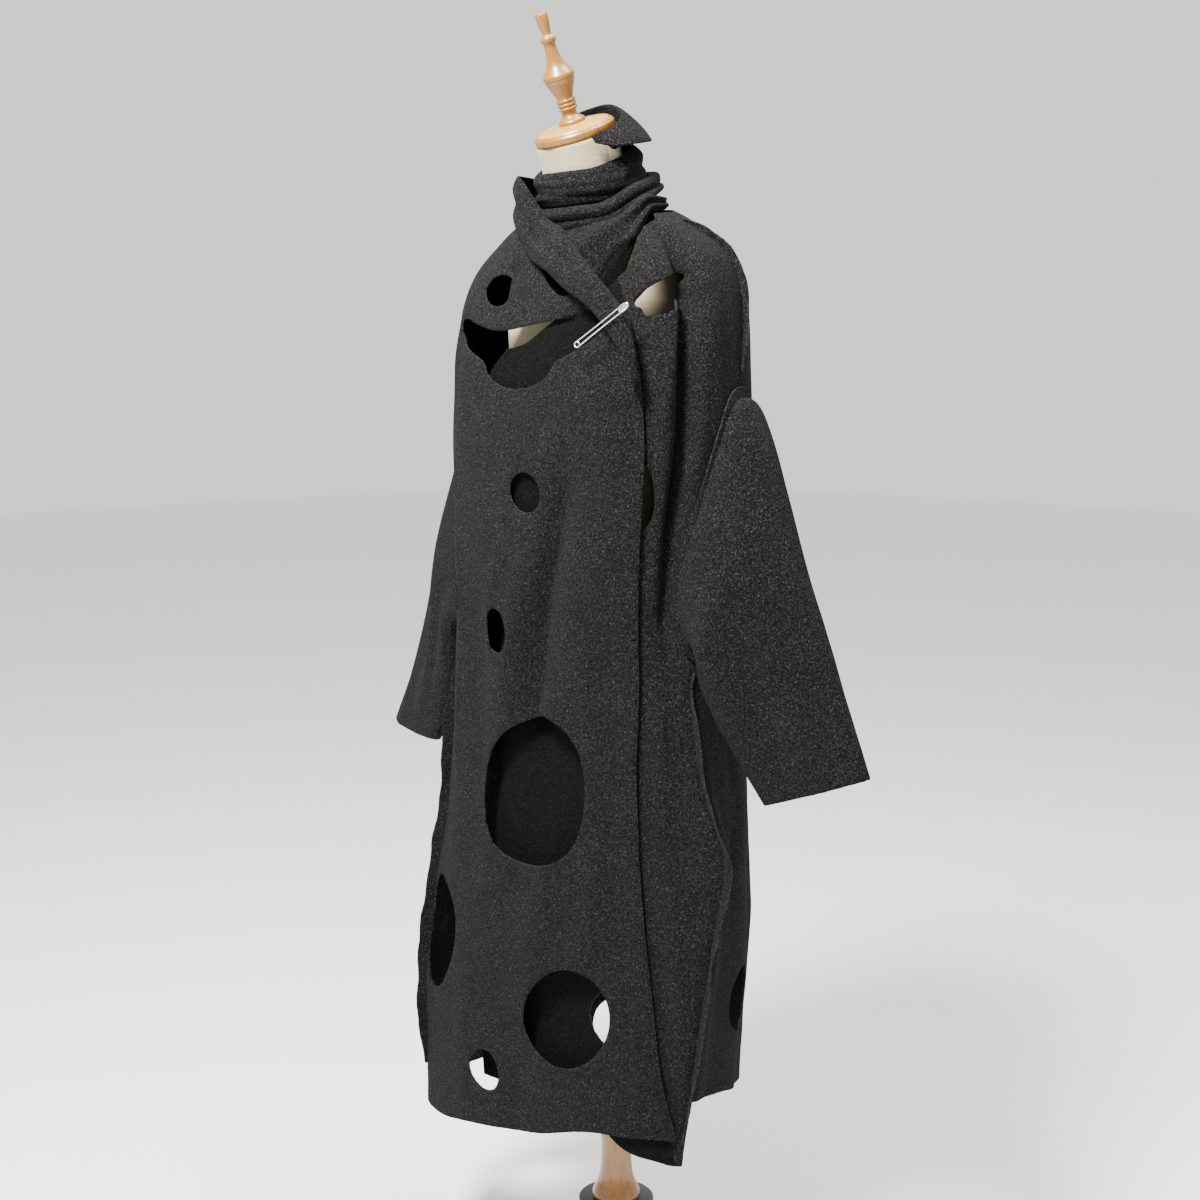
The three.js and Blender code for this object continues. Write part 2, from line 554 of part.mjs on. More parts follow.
// A sleeve: a head lying on the panels round the armhole, then a tube that flattens to its hem.
function sleevePlace(rows, mirrored) {
  const head = (turn, grow, lift) => {
    const squared = (value) => Math.sign(value) * Math.abs(value) ** (2 / ARMHOLE.square);
    const down = -squared(Math.cos(turn));
    const fall = ARMHOLE.fall + ARMHOLE.drop * grow * down;
    const angle = ARMHOLE.angle - ARMHOLE.lean * down - ARMHOLE.reach * grow * squared(Math.sin(turn));
    const side = mirrored ? 540 - angle : angle;
    return bodyPoint(side, fall).addScaledVector(plainNormal(side, fall), lift);
  };
  const tube = (turn, at) => {
    const read = (column) => along(rows, 'at', column, at);
    const under = new THREE.Vector3(read('underX'), read('underY'), read('underZ'));
    const outer = new THREE.Vector3(read('outerX'), read('outerY'), read('outerZ'));
    const half = outer.clone().sub(under).multiplyScalar(0.5);
    const flat = new THREE.Vector3(mirrored ? -1 : 1, 0.25, -1).cross(half).normalize();
    if (flat.y > 0) flat.negate();
    return under.add(half).addScaledVector(half, Math.cos(turn))
      .addScaledVector(flat, (Math.sin(turn) * read('full')) / 2);
  };
  return (s, t) => {
    const turn = (mirrored ? 1 : -1) * s * 2 * Math.PI;
    if (t < SEAM_SHARE) {
      const share = t / SEAM_SHARE;
      return head(turn, mix(SEAM_GROW, HEAD_GROW, share), ARMHOLE_LIFT + SEAM_RISE * share);
    }
    const at = (t - SEAM_SHARE) / (1 - SEAM_SHARE);
    const lift = ARMHOLE_LIFT + SEAM_RISE + HEAD_LIFT * Math.min(1, at / SLEEVE_HEAD);
    return head(turn, HEAD_GROW, lift).lerp(tube(turn, at), smooth(at / SLEEVE_HEAD));
  };
}
addPiece('sleeve_left', 'wool', wall(20, 11, sleevePlace(LEFT_SLEEVE, false), true));
addPiece('sleeve_right', 'wool', wall(20, 11, sleevePlace(RIGHT_SLEEVE, true), true));

// A stretch of scarf between an upper and a lower edge given round the neck.
function neckPoint(angle, radius, z) {
  const y = NECK_BASE.y + (z - NECK_BASE.z) * NECK_LEAN;
  return new THREE.Vector3(radius * Math.cos(radians(angle)), y + radius * Math.sin(radians(angle)), z);
}
function scarfPlace(rows, angleAt, inner = 0) {
  return (s, t) => {
    const angle = angleAt(s);
    const read = (column) => along(rows, 'angle', column, angle);
    const over = inner ? Math.max(0, 2 * t - 1) : t;
    const under = inner ? Math.max(0, 1 - 2 * t) : 0;
    const radius = mix(read('topR'), read('lowR'), over) + read('swell') * 4 * over * (1 - over);
    return neckPoint(angle, radius, mix(read('topZ'), read('lowZ'), over) - inner * under);
  };
}
const looped = (rows) => [...rows.slice(-2).map((row) => ({ ...row, angle: row.angle - 360 })), ...rows,
  ...rows.slice(0, 2).map((row) => ({ ...row, angle: row.angle + 360 }))];
for (const [name, rows, steps] of [
  ['scarf_wrap_top', SCARF_TOP, 4],
  ['scarf_wrap_middle', SCARF_MIDDLE, 4],
  ['scarf_wrap_low', SCARF_LOW, 3],
]) {
  const place = scarfPlace(looped(rows), (s) => s * 360);
  addPiece(name, 'wool', wall(RING_STEPS, steps, place, true));
}
addPiece('scarf_collar_flap', 'wool', wall(14, 6,
  scarfPlace(SCARF_FLAP, (s) => mix(SCARF_FLAP[0].angle, SCARF_FLAP.at(-1).angle, s), FLAP_LEG)));

// The crossing end runs through its own sections, each swelling away from the body.
const endRows = SCARF_END.map((row, index) => ({ ...row, at: index }));
const END_OUT = new THREE.Vector3(0.35, -0.9, 0.25).normalize();
addPiece('scarf_crossing_end', 'wool', wall(24, 4, (s, t) => {
  const at = s * (endRows.length - 1);
  const read = (column) => along(endRows, 'at', column, at);
  const top = new THREE.Vector3(read('topX'), read('topY'), read('topZ'));
  const low = new THREE.Vector3(read('lowX'), read('lowY'), read('lowZ'));
  return top.lerp(low, t).addScaledVector(END_OUT, read('swell') * 4 * t * (1 - t) * smooth(at / 4));
}));

// The kilt pin: a closed loop of wire with a flat head at its upper end.
function kiltPin() {
  const from = new THREE.Vector3(...PIN_ENDS.from);
  const to = new THREE.Vector3(...PIN_ENDS.to);
  const axis = to.clone().sub(from);
  const length = axis.length();
  axis.normalize();
  const out = new THREE.Vector3(0.25, -1, 0);
  const aside = axis.clone().cross(out).normalize();
  const radius = PIN.width / 2;
  const points = [];
  for (const [centre, start] of [[length - radius, -90], [radius, 90]]) {
    for (let step = 0; step <= 6; step += 1) {
      const turn = radians(start + step * 30);
      points.push(from.clone().addScaledVector(axis, centre + radius * Math.cos(turn))
        .addScaledVector(aside, radius * Math.sin(turn)));
    }
  }
  const path = new THREE.CatmullRomCurve3(points, true, 'catmullrom', 0.3);
  const section = new THREE.Shape();
  section.absarc(0, 0, PIN.wire, 0, Math.PI * 2);
  const wire = new THREE.ExtrudeGeometry(section, { steps: 24, curveSegments: 3, extrudePath: path });
  const head = new THREE.SphereGeometry(1, 12, 8);
  head.scale(PIN.head * 1.7, PIN.width * 0.72, PIN.head * 0.62);
  const frame = new THREE.Matrix4().makeBasis(axis, aside, axis.clone().cross(aside));
  head.applyMatrix4(frame.setPosition(from.clone().addScaledVector(axis, length - radius)));
  return fromManifold(toManifold(closed(wire)).add(toManifold(closed(head))));
}
addPiece('kilt_pin', 'steel', kiltPin());

// The form's body: a closed skin of oval sections with flat ends.
function torsoGeometry() {
  const rings = TORSO.length;
  const geometry = new THREE.LatheGeometry(
    [new THREE.Vector2(0, 0), ...TORSO.map((row, index) => new THREE.Vector2(1, index)),
      new THREE.Vector2(0, rings - 1)], TORSO_STEPS);
  const position = geometry.getAttribute('position');
  const perTurn = rings + 2;
  for (let vertex = 0; vertex < position.count; vertex += 1) {
    const step = vertex % perTurn;
    const row = TORSO[Math.min(rings - 1, Math.max(0, step - 1))];
    const radius = step === 0 || step === perTurn - 1 ? 0 : 1;
    const turn = ((Math.floor(vertex / perTurn) % TORSO_STEPS) / TORSO_STEPS) * Math.PI * 2;
    const cos = Math.cos(turn);
    const sin = Math.sin(turn);
    const square = (Math.abs(cos) ** TORSO_CORNER + Math.abs(sin) ** TORSO_CORNER) ** (-1 / TORSO_CORNER);
    const depth = radius * row.depth * sin * square;
    position.setXYZ(vertex, radius * row.width * cos * square, row.y + depth * Math.cos(radians(row.tilt)),
      row.z + depth * Math.sin(radians(row.tilt)));
  }
  return closed(geometry);
}
addPiece('form_torso', 'linen', torsoGeometry());

function turned(profile, steps) {
  const geometry = new THREE.LatheGeometry(profile.map((row) => new THREE.Vector2(row.r, row.z)), steps);
  geometry.rotateX(Math.PI / 2);
  return geometry;
}
// Moves a turned piece from its own axis to the neck's leaning one, at a distance above the neck.
function onNeck(geometry, above) {
  const neck = TORSO.at(-1);
  const lean = radians(CAP_TILT);
  geometry.rotateX(lean);
  geometry.translate(0, neck.y - above * Math.sin(lean), neck.z + above * Math.cos(lean));
  return closed(geometry);
}
const capHeight = CAP_PROFILE.at(-1).z;
addPiece('neck_cap', 'wood', onNeck(turned(CAP_PROFILE, 28), NECK_SEAT));
addPiece('finial', 'wood', onNeck(turned(FINIAL_PROFILE, 16), capHeight + 2 * NECK_SEAT));

addPiece('pole_column', 'wood', closed(turned(COLUMN_PROFILE, 24)));
const disc = (radius, from, to, steps) => closed(turned(
  table('r z', [[0, from], [radius, from], [radius, to], [0, to]]), steps));
addPiece('pole_rod', 'dark', disc(ROD.radius, ROD.from, ROD.to, 16));
addPiece('pole_flange', 'dark', disc(FLANGE.radius, FLANGE.from, FLANGE.to, 28));
addPiece('pole_stem', 'dark', disc(STEM.radius, STEM.from, STEM.to, 16));
addPiece('base_plate', 'dark', closed(turned(table('r z', [
  [0, 0], [PLATE.radius, 0], [PLATE.radius, PLATE.height - PLATE.bevel],
  [PLATE.radius - PLATE.bevel, PLATE.height], [0, PLATE.height],
]), 40)));

export default group;
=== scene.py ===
"""Boiled-wool wrap coat with round cut-outs and a scarf collar, on a limbless linen form and pole.

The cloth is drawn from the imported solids' sizes at a fine step, with softer creases and dents added
and some edges and cut-outs moved a little, and rides on them.
Tables are in millimetres and the meshes in metres. The wearer faces -Y and the wearer's left is +X.
Angles go round the body in degrees: 0 is the wearer's left, 90 the back, 180 the right, 270 the front.
Fall is the distance down the cloth from the neck.
"""
import math

import bpy
import numpy as np
from mathutils import Matrix, Vector


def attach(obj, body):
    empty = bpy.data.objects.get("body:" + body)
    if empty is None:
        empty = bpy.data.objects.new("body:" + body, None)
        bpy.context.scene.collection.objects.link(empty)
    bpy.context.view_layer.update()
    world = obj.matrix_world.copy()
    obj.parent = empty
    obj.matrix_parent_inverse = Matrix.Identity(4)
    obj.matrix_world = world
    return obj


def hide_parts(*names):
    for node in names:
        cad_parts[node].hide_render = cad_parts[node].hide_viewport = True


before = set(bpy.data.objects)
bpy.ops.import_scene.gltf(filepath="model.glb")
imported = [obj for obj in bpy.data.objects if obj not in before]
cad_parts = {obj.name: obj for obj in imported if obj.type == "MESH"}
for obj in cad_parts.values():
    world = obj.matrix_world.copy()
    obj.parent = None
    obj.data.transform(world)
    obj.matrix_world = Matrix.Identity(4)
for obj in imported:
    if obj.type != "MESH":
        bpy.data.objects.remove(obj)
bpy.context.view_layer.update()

bl_info = {
    "name": "Cut-out wool wrap coat",
    "version": (1, 0, 0),
    "blender": (4, 5, 0),
    "location": "3D View > Sidebar > Coat",
    "description": "Dresses the packed coat and form in boiled wool, linen, turned wood and steel",
    "category": "Object",
}

BODY_NAME = "root"
# The reference view in its own pixels: its side, its focal length and where the pole's axis stands in it.
VIEW_SIDE, VIEW_FOCAL, VIEW_AXIS = 1200, 1776, 617
SENSOR = 36  # millimetres
METRE = 0.001


def linear(code):
    """An sRGB hex colour as linear red, green and blue."""
    parts = [int(code[i : i + 2], 16) / 255 for i in (1, 3, 5)]
    return tuple(p / 12.92 if p <= 0.04045 else ((p + 0.055) / 1.055) ** 2.4 for p in parts)


def rgba(colour):
    return (*colour[:3], 1.0)


# Shape tables

class Table:
    """Rows with named columns, read at the first column on a cubic that never overshoots its rows."""

    def __init__(self, columns, rows):
        self.names = columns.split()
        self.rows = rows
        self.values = dict(zip(self.names, np.array(rows, float).T))

    def read(self, column, at):
        x, y = self.values[self.names[0]], self.values[column]
        place = np.clip(at, x[0], x[-1])
        step = np.diff(x)
        slope = np.diff(y) / step
        before, after = slope[:-1], slope[1:]
        same = before * after > 0
        inner = np.where(same, 2 * before * after / np.where(same, before + after, 1), 0)
        tangent = np.concatenate([slope[:1], inner, slope[-1:]])
        index = np.clip(np.searchsorted(x, place) - 1, 0, len(step) - 1)
        t = (place - x[index]) / step[index]
        return (
            (2 * t**3 - 3 * t**2 + 1) * y[index]
            + (t**3 - 2 * t**2 + t) * step[index] * tangent[index]
            + (3 * t**2 - 2 * t**3) * y[index + 1]
            + (t**3 - t**2) * step[index] * tangent[index + 1]
        )

    def each(self):
        return [dict(zip(self.names, row)) for row in self.rows]


CLOTH = 3.0  # thickness of the wool
UNDERLAP = 8  # how far the left front lies inside the lap
LAP_BLEND = 10  # degrees over which it comes out from under the lap
UNDER_HANG = 18  # how much deeper its free edge hangs in the skirt
SEAM_HALF_GAP = 0.2
# Raised seam allowances, at the side and at the shoulder: their run down the cloth and their height.
ALLOWANCES = Table("start end height", [(640, 1250, 15), (50, 280, 9)])
ALLOWANCE_WALL = 2.6
ALLOWANCE_IN = 2.3  # how far an allowance's middle stands in from its panel's edge
ARMHOLE = {"angle": 358, "lean": 12, "reach": 19, "fall": 463, "drop": 155, "square": 2.4}
ARMHOLE_LIFT = 4.9  # the sleeve head's height over the panels
CELL = 5.0  # step of the cloth's grid
SNAP = 0.4  # share of a cell within which a grid point moves onto a cut-out's rim

# The raw edge, as shares of half the cloth's thickness, and its fray in millimetres.
EDGE_HEIGHT, EDGE_BULGE = 0.55, 0.5
FRAY_SIZE, FRAY_DEPTH, FRAY_SEED = 2.2, 0.35, 5
# The felted cloth's soft waves: how long, their share and their seed.
WAVES = Table("size share seed", [(95, 0.7, 11), (34, 0.3, 12)])

BODY = Table("fall x y left right front back corner twist sideZ frontZ backZ", [
    (0, 0, -55, 96, 92, 66, 78, 2.0, 0, 1466, 1434, 1488),
    (60, 0, -50, 152, 142, 90, 106, 2.1, 0, 1440, 1388, 1462),
    (130, -2, -48, 210, 186, 110, 122, 2.3, 0, 1402, 1334, 1410),
    (180, -4, -48, 232, 202, 118, 128, 2.4, 0, 1356, 1288, 1358),
    (250, -6, -50, 243, 208, 122, 130, 2.5, 0, 1286, 1226, 1286),
    (330, -6, -50, 246, 210, 122, 130, 2.5, 1, 1206, 1158, 1202),
    (420, -6, -50, 236, 206, 120, 128, 2.5, 2, 1112, 1078, 1106),
    (520, -6, -50, 224, 202, 118, 128, 2.5, 3, 1010, 988, 1006),
    (620, -4, -48, 216, 204, 116, 130, 2.5, 4, 906, 896, 902),
    (740, 0, -46, 218, 214, 114, 134, 2.6, 5, 780, 776, 778),
    (860, 0, -44, 226, 228, 112, 138, 2.6, 6, 655, 655, 655),
    (1000, 0, -44, 224, 252, 110, 142, 2.7, 7, 512, 512, 512),
    (1130, -2, -44, 216, 268, 108, 142, 2.7, 7, 380, 380, 380),
    (1300, -4, -44, 208, 268, 106, 140, 2.7, 7, 216, 216, 216),
    (1340, -4, -44, 207, 268, 106, 140, 2.7, 7, 177, 177, 177),
])

# Main folds as in the solids, then the softer creases that only the cloth shows.
# Each runs from its top to its bottom end; depth above 0 is a ridge, end is how softly it starts and stops.
FOLDS = Table("angle fall toAngle toFall width depth end bow", [
    (287, 400, 268, 720, 9, -14, 70, 0),
    (279, 440, 256, 660, 7, 6, 70, 0),
    (272, 900, 266, 1040, 9, 7, 70, 0),
    (341, 110, 328, 590, 6.5, -26, 70, 0),
    (199, 150, 211, 560, 6.5, -18, 70, 0),
    (222, 480, 220, 760, 7, 5, 70, 0),
    (238, 560, 236, 900, 9, -9, 70, 0),
    (305, 620, 300, 1180, 9, -7, 70, 0),
    (60, 260, 52, 760, 10, -16, 70, 0),
    (92, 200, 96, 640, 11, 9, 70, 0),
    (126, 300, 130, 820, 10, -14, 70, 0),
    (72, 800, 66, 1240, 10, 12, 70, 0),
    (110, 780, 114, 1240, 11, -12, 70, 0),
    (146, 860, 150, 1260, 9, 10, 70, 0),
    (30, 860, 26, 1220, 8, -9, 70, 0),
])
CREASES = Table("angle fall toAngle toFall width depth end bow", [
    (226, 380, 222, 770, 2.6, 2.6, 60, 2),
    (232, 150, 224, 330, 4, -3.5, 40, -2),
    (258, 470, 248, 640, 3.2, 2.4, 45, -3),
    (270, 560, 262, 700, 4.5, -3.5, 40, 2),
    (290, 470, 284, 600, 4, 2.2, 40, 2),
    (256, 960, 250, 1120, 5, -3, 50, 2),
    (292, 900, 287, 1010, 4, 2.5, 40, 0),
    (276, 930, 279, 1000, 3, -2, 30, 1),
    (240, 1040, 238, 1270, 5, 3.5, 60, 0),
    (262, 1180, 258, 1290, 5, -3, 40, 0),
    (300, 1000, 303, 1230, 5, 3, 60, -2),
    (318, 230, 316, 420, 4, 3, 45, 2),
    (332, 130, 322, 330, 3.4, 4, 40, 3),
    (347, 200, 340, 360, 3.6, 3.5, 45, -2),
    (326, 640, 320, 860, 5, -5, 60, 3),
    (331, 470, 326, 620, 3.5, 4, 50, -2),
    (322, 960, 326, 1200, 4, 2.5, 60, 0),
    (40, 150, 48, 420, 7, 4, 60, -3),
    (74, 120, 70, 330, 6, -4, 55, 2),
    (110, 130, 116, 380, 6, -4, 60, -2),
    (150, 170, 142, 460, 7, 4.5, 60, 3),
    (84, 560, 88, 800, 6, -4, 60, 2),
    (102, 640, 98, 900, 5, 3.5, 55, -3),
    (44, 700, 40, 980, 6, 4, 60, 2),
    (160, 560, 164, 800, 5, -4, 50, 0),
    (90, 900, 88, 1200, 6, -5, 70, 1),
    (128, 960, 131, 1260, 6, 5, 70, -2),
    (8, 640, 2, 900, 5, -4, 60, 2),
    (52, 1000, 50, 1200, 5, -4, 60, 0),
    (190, 620, 196, 900, 5, -4, 60, 2),
    (342.5, 130, 330, 480, 3.2, -11, 60, 0),
    (289, 380, 268, 715, 4, -6, 60, 0),
    (349, 150, 338, 420, 3.4, 5, 50, 0),
])
LAYER_NUMBERS = {"right": 1, "left": 2, "back": 3}
# Local dents and swellings of one layer: how wide in degrees, how far down the cloth, and depth.
DENTS = Table("layer angle fall across down depth", [
    (1, 296, 152, 7, 13, -13), (1, 250, 66, 6, 15, -6), (1, 232, 150, 8, 12, 4), (1, 276, 690, 7, 22, 6),
    (1, 262, 930, 9, 24, -5), (1, 285, 1010, 8, 20, 4), (1, 256, 1150, 7, 22, -5), (2, 352, 230, 6, 60, 5),
])
SEAM_RIDGE = Table("fall left right", [
    (620, 0, 0), (700, 7, 4), (790, 20, 8), (869, 36, 10), (960, 22, 10), (1079, 14, 10), (1300, 12, 10),
])
RIDGE_WIDTH = 8.5

UPPER_SEAM = Table("fall angle", [(0, 19), (150, 21), (270, 14), (300, 10)])
LOWER_SEAM = Table("fall angle", [
    (625, 344), (660, 338), (740, 336), (800, 337), (869, 340), (974, 337), (1079, 334), (1300, 328),
])
LAP_EDGE = Table("fall angle", [
    (0, 309), (170, 312), (266, 315.5), (452, 315), (620, 314.5), (770, 310), (860, 309), (923, 309.5),
    (1001, 311), (1079, 314.5), (1160, 318.5), (1250, 325), (1300, 327),
])
UNDER_EDGE = Table("fall angle", [
    (0, 296), (120, 275), (228, 250), (400, 240), (700, 238), (900, 239), (1100, 240), (1300, 243),
])
RIGHT_TOP = Table("angle fall", [
    (160, 22), (215, 22), (240, 26), (262, 38), (270, 54), (278, 88), (286, 114), (294, 118), (300, 130),
    (305, 152), (310, 172), (330, 186),
])
LEFT_TOP = Table("angle fall", [
    (250, 226), (262, 205), (268, 192), (274, 184), (280, 171), (283, 152), (288, 138), (300, 131),
    (306, 118), (311, 108), (317, 99), (323, 83), (330, 63), (340, 50), (349, 44), (360, 26), (385, 22),
])
BACK_TOP = Table("angle fall", [(10, 22), (45, 30), (90, 40), (135, 30), (170, 22)])
RIGHT_HEM = Table("angle fall", [
    (190, 1288), (222, 1312), (240, 1299), (265, 1279), (294, 1250), (306, 1247), (330, 1244),
])
LEFT_HEM = Table("angle fall", [
    (240, 1232), (280, 1236), (291, 1244), (297, 1260), (303, 1271), (310, 1277), (326, 1283), (385, 1283),
])
BACK_HEM = Table("angle fall", [
    (-34, 1186), (0, 1193), (24, 1206), (60, 1215), (90, 1240), (120, 1274), (160, 1284), (200, 1286),
])
# Grid rows bend to the top edge above TOP_ZONE and to the hem below HEM_ZONE. The edges' tables are
# read at the angles that the grid has at TOP_READ and HEM_READ.
TOP_ZONE, HEM_ZONE, LAST_FALL = 280, 1180, 1290
TOP_READ, HEM_READ = 120, 1240
EXTRA_ROWS = [309.5, 312, 317, 609, 614, 616.5]  # added beside the armhole's two ends

# Cut-outs: panel, angle and fall of the centre, size across and down the cloth, and outline.
CUT_ROWS = [
    ("right", 246, 104, 62, 54, "round"),
    ("right", 263, 191, 294, 96, "scoop"),
    ("right", 271, 390, 58, 60, "round"),
    ("right", 252.8, 596, 50, 64, "round"),
    ("right", 219, 557, 44, 74, "round"),
    ("right", 266, 802, 187, 198, "big"),
    ("right", 280.5, 1101.5, 138, 141, "low"),
    ("right", 247.5, 1210, 56, 62, "round"),
    ("right", 219, 1034, 86, 164, "side"),
    ("left", 310, 408.5, 78, 88, "lap"),
    ("left", 327.5, 162, 101, 38, "chest"),
    ("left", 300.8, 1094, 108, 92, "round"),
    ("back", 19, 1073, 84, 98, "round"),
    ("back", 100, 1222, 122, 122, "low"),
    ("back", 118, 420, 64, 66, "round"),
    ("back", 62, 640, 92, 96, "big"),
    ("back", 132, 850, 150, 158, "big"),
    ("back", 78, 970, 60, 62, "round"),
]
# How each cut-out departs from an ellipse: mean reach, then waves round the rim (count, share, turn).
# Apart from round, a least-squares fit to a few points read along each rim gave these numbers.
OUTLINES = {
    "round": (1.0, [(2, 0.02, 30), (3, 0.025, 50)]),
    "scoop": (0.846, [(1, 0.118, -55), (2, 0.036, -43), (3, 0.222, -41), (4, 0.033, 1)]),
    "big": (1.014, [(1, 0.055, 60), (2, 0.099, -43), (3, 0.031, 55), (4, 0.021, -40)]),
    "low": (0.992, [(2, 0.088, -45), (3, 0.005, 11), (4, 0.006, -39)]),
    "chest": (0.98, [(1, 0.12, 37), (2, 0.16, -88), (3, 0.13, -153)]),
    "lap": (1.018, [(1, 0.04, 37), (2, 0.041, 54), (3, 0.079, 52)]),
    "side": (1.0, [(1, 0.041, 104), (2, 0.05, 35), (3, 0.06, -23)]),
}

SLEEVE_COLUMNS = "at underX underY underZ outerX outerY outerZ full"
LEFT_SLEEVE = Table(SLEEVE_COLUMNS, [
    (0.0, 224, -90, 914, 252, -8, 1236, 98),
    (0.14, 230, -86, 884, 276, -8, 1178, 98),
    (0.4, 248, -70, 826, 326, -6, 1036, 80),
    (0.7, 274, -50, 768, 382, -3, 893, 52),
    (1.0, 298, -36, 724, 430, 0, 772, 34),
])
RIGHT_SLEEVE = Table(SLEEVE_COLUMNS, [
    (0.0, -224, -86, 914, -226, -14, 1232, 92),
    (0.14, -230, -86, 882, -250, -18, 1174, 94),
    (0.4, -242, -84, 822, -300, -26, 1032, 78),
    (0.7, -266, -80, 768, -354, -36, 882, 50),
    (1.0, -292, -78, 727, -424, -46, 738, 32),
])
SLEEVE_HEAD, SEAM_SHARE, SEAM_GROW, HEAD_GROW, SEAM_RISE, HEAD_LIFT = 0.2, 0.06, 1.075, 0.985, 1.5, 26
# Creases on a sleeve, from one place to another: turn round it in degrees, share of its length.
SLEEVE_CREASES = Table("turn at toTurn toAt width depth", [
    (60, 0.16, 88, 0.62, 12, -5),
    (95, 0.2, 104, 0.8, 14, 4),
    (128, 0.12, 118, 0.5, 12, -5),
    (40, 0.4, 62, 0.95, 12, 3),
    (250, 0.15, 262, 0.6, 14, -5),
    (285, 0.3, 280, 0.9, 14, 4),
    (222, 0.2, 236, 0.7, 12, 4),
])

SCARF_COLUMNS = "angle topR topZ lowR lowZ swell"
SCARF_TOP = Table(SCARF_COLUMNS, [
    (0, 66, 1528, 72, 1482, 4), (45, 74, 1550, 76, 1504, 4), (90, 76, 1560, 77, 1506, 3),
    (135, 74, 1552, 76, 1494, 3), (180, 64, 1530, 72, 1478, 4), (225, 60, 1512, 68, 1468, 4),
    (270, 60, 1510, 68, 1466, 4), (315, 61, 1513, 70, 1470, 5),
])
SCARF_MIDDLE = Table(SCARF_COLUMNS, [
    (0, 80, 1496, 86, 1470, 7), (22, 83, 1506, 87, 1482, 7), (45, 86, 1515, 89, 1492, 8),
    (90, 84, 1520, 87, 1500, 6), (135, 83, 1508, 86, 1488, 5), (180, 80, 1488, 85, 1460, 5),
    (225, 76, 1472, 82, 1440, 5), (270, 76, 1466, 82, 1432, 7), (315, 78, 1470, 86, 1436, 8),
])
SCARF_LOW = Table(SCARF_COLUMNS, [
    (0, 97, 1482, 101, 1460, 3), (22, 96, 1483, 97, 1466, 3), (45, 90, 1486, 91, 1473, 2),
    (90, 87, 1494, 88, 1482, 1), (135, 88, 1482, 89, 1472, 1), (180, 96, 1464, 98, 1450, 2),
    (225, 91, 1446, 95, 1424, 3), (255, 92, 1438, 108, 1392, 3), (280, 94, 1436, 154, 1326, 3),
    (300, 97, 1440, 172, 1310, 4), (315, 99, 1446, 150, 1364, 4), (328, 99, 1452, 134, 1404, 4),
    (343, 98, 1466, 114, 1438, 3),
])
SCARF_FLAP = Table(SCARF_COLUMNS, [
    (-24, 61, 1551, 66, 1545, 0), (-10, 62, 1560, 80, 1541, 1), (4, 63, 1566, 90, 1544, 2),
    (25, 66, 1578, 96, 1550, 3), (55, 70, 1595, 98, 1558, 5),
    (90, 72, 1607, 95, 1568, 7), (120, 70, 1600, 92, 1564, 6), (150, 66, 1576, 84, 1556, 4),
])
FLAP_LEG = 26  # how far the flap's inner leg goes down behind its crease
DIP_DEPTH = 5
NECK_OPENING, BAND_OPENING = (303, 342), (236, 303)  # angles where the low turn dips in
NECK_BASE = (-35, 1450)
NECK_LEAN = -0.395
SCARF_END = Table("at topX topY topZ lowX lowY lowZ swell", [
    (0, -62, 28, 1506, -78, 44, 1486, 2),
    (1, -98, -22, 1514, -108, -12, 1472, 4),
    (2, -86, -84, 1514, -100, -70, 1464, 5),
    (3, -54, -128, 1508, -76, -110, 1442, 6),
    (4, -14, -134, 1474, -42, -134, 1424, 6),
    (5, 10, -137, 1452, -14, -147, 1404, 5),
    (6, 44, -143, 1438, 33, -163, 1386, 6),
    (7, 62, -146, 1422, 72, -168, 1362, 6),
    (8, 106, -156, 1388, 107, -171, 1345, 5),
    (9, 143, -161, 1359, 133, -172, 1328, 4),
    (10, 172, -159, 1326, 157, -170, 1303, 3),
    (11, 187, -159, 1286, 171, -168, 1282, 2),
    (12, 194, -159, 1248, 183, -165, 1247, 1),
])
END_OUT = (0.35, -0.9, 0.25)  # the way that the crossing end swells out
# Soft rolls along the scarf: share along and across at both ends, width across and height.
SCARF_ROLLS = Table("along across toAlong toAcross width height", [
    (0.0, 0.3, 0.55, 0.2, 0.13, 3.0),
    (0.2, 0.75, 0.9, 0.62, 0.12, 3.0),
    (0.45, 0.15, 1.0, 0.45, 0.1, 2.4),
    (0.6, 0.5, 1.0, 0.85, 0.08, -2.4),
    (0.05, 0.55, 0.4, 0.5, 0.09, -2.4),
])

PIN_FROM, PIN_TO = (112, -186, 1289), (186, -170, 1338)
PIN_HALF_GAP, PIN_BOW = 3.3, 0.5  # each wire's distance from the middle, and how far it bows in
COIL_AT, COIL_TURNS, COIL_RISE, COIL_WIRE = 4.6, 1.25, 1.6, 0.9
BACK_WIRE, POINT_WIRE = 1.0, 0.85
CLASP_AT, CLASP_SIZE, CLASP_STEPS = 5.5, (8.2, 4.7, 2.4), (25, 40)  # from the end; half sizes

TORSO = Table("z y width depth tilt", [
    (802, -34, 122, 74, 0), (810, -34, 132, 82, 0), (880, -34, 138, 82, 0), (960, -34, 126, 80, 0),
    (1050, -36, 106, 72, 0), (1140, -38, 114, 80, 0), (1220, -41, 124, 90, 0), (1300, -42, 130, 88, 0),
    (1350, -42, 140, 78, 0), (1388, -42, 138, 66, 0), (1416, -40, 108, 56, 2), (1438, -38, 74, 52, 5),
    (1462, -43, 57, 50, 10), (1506, -57, 52, 51, 17), (1546, -70, 51, 51, 22), (1560, -75, 51, 51, 23),
])
TORSO_CORNER = 2.3
FORM_SEAMS = (0, 90, 180, 270)
GROOVE_DEPTH, GROOVE_WIDTH = 0.9, 0.9  # millimetres deep, degrees wide
CAP_TILT = 23
CAP_RIM = 12.2  # height on the cap above which its wood is paler
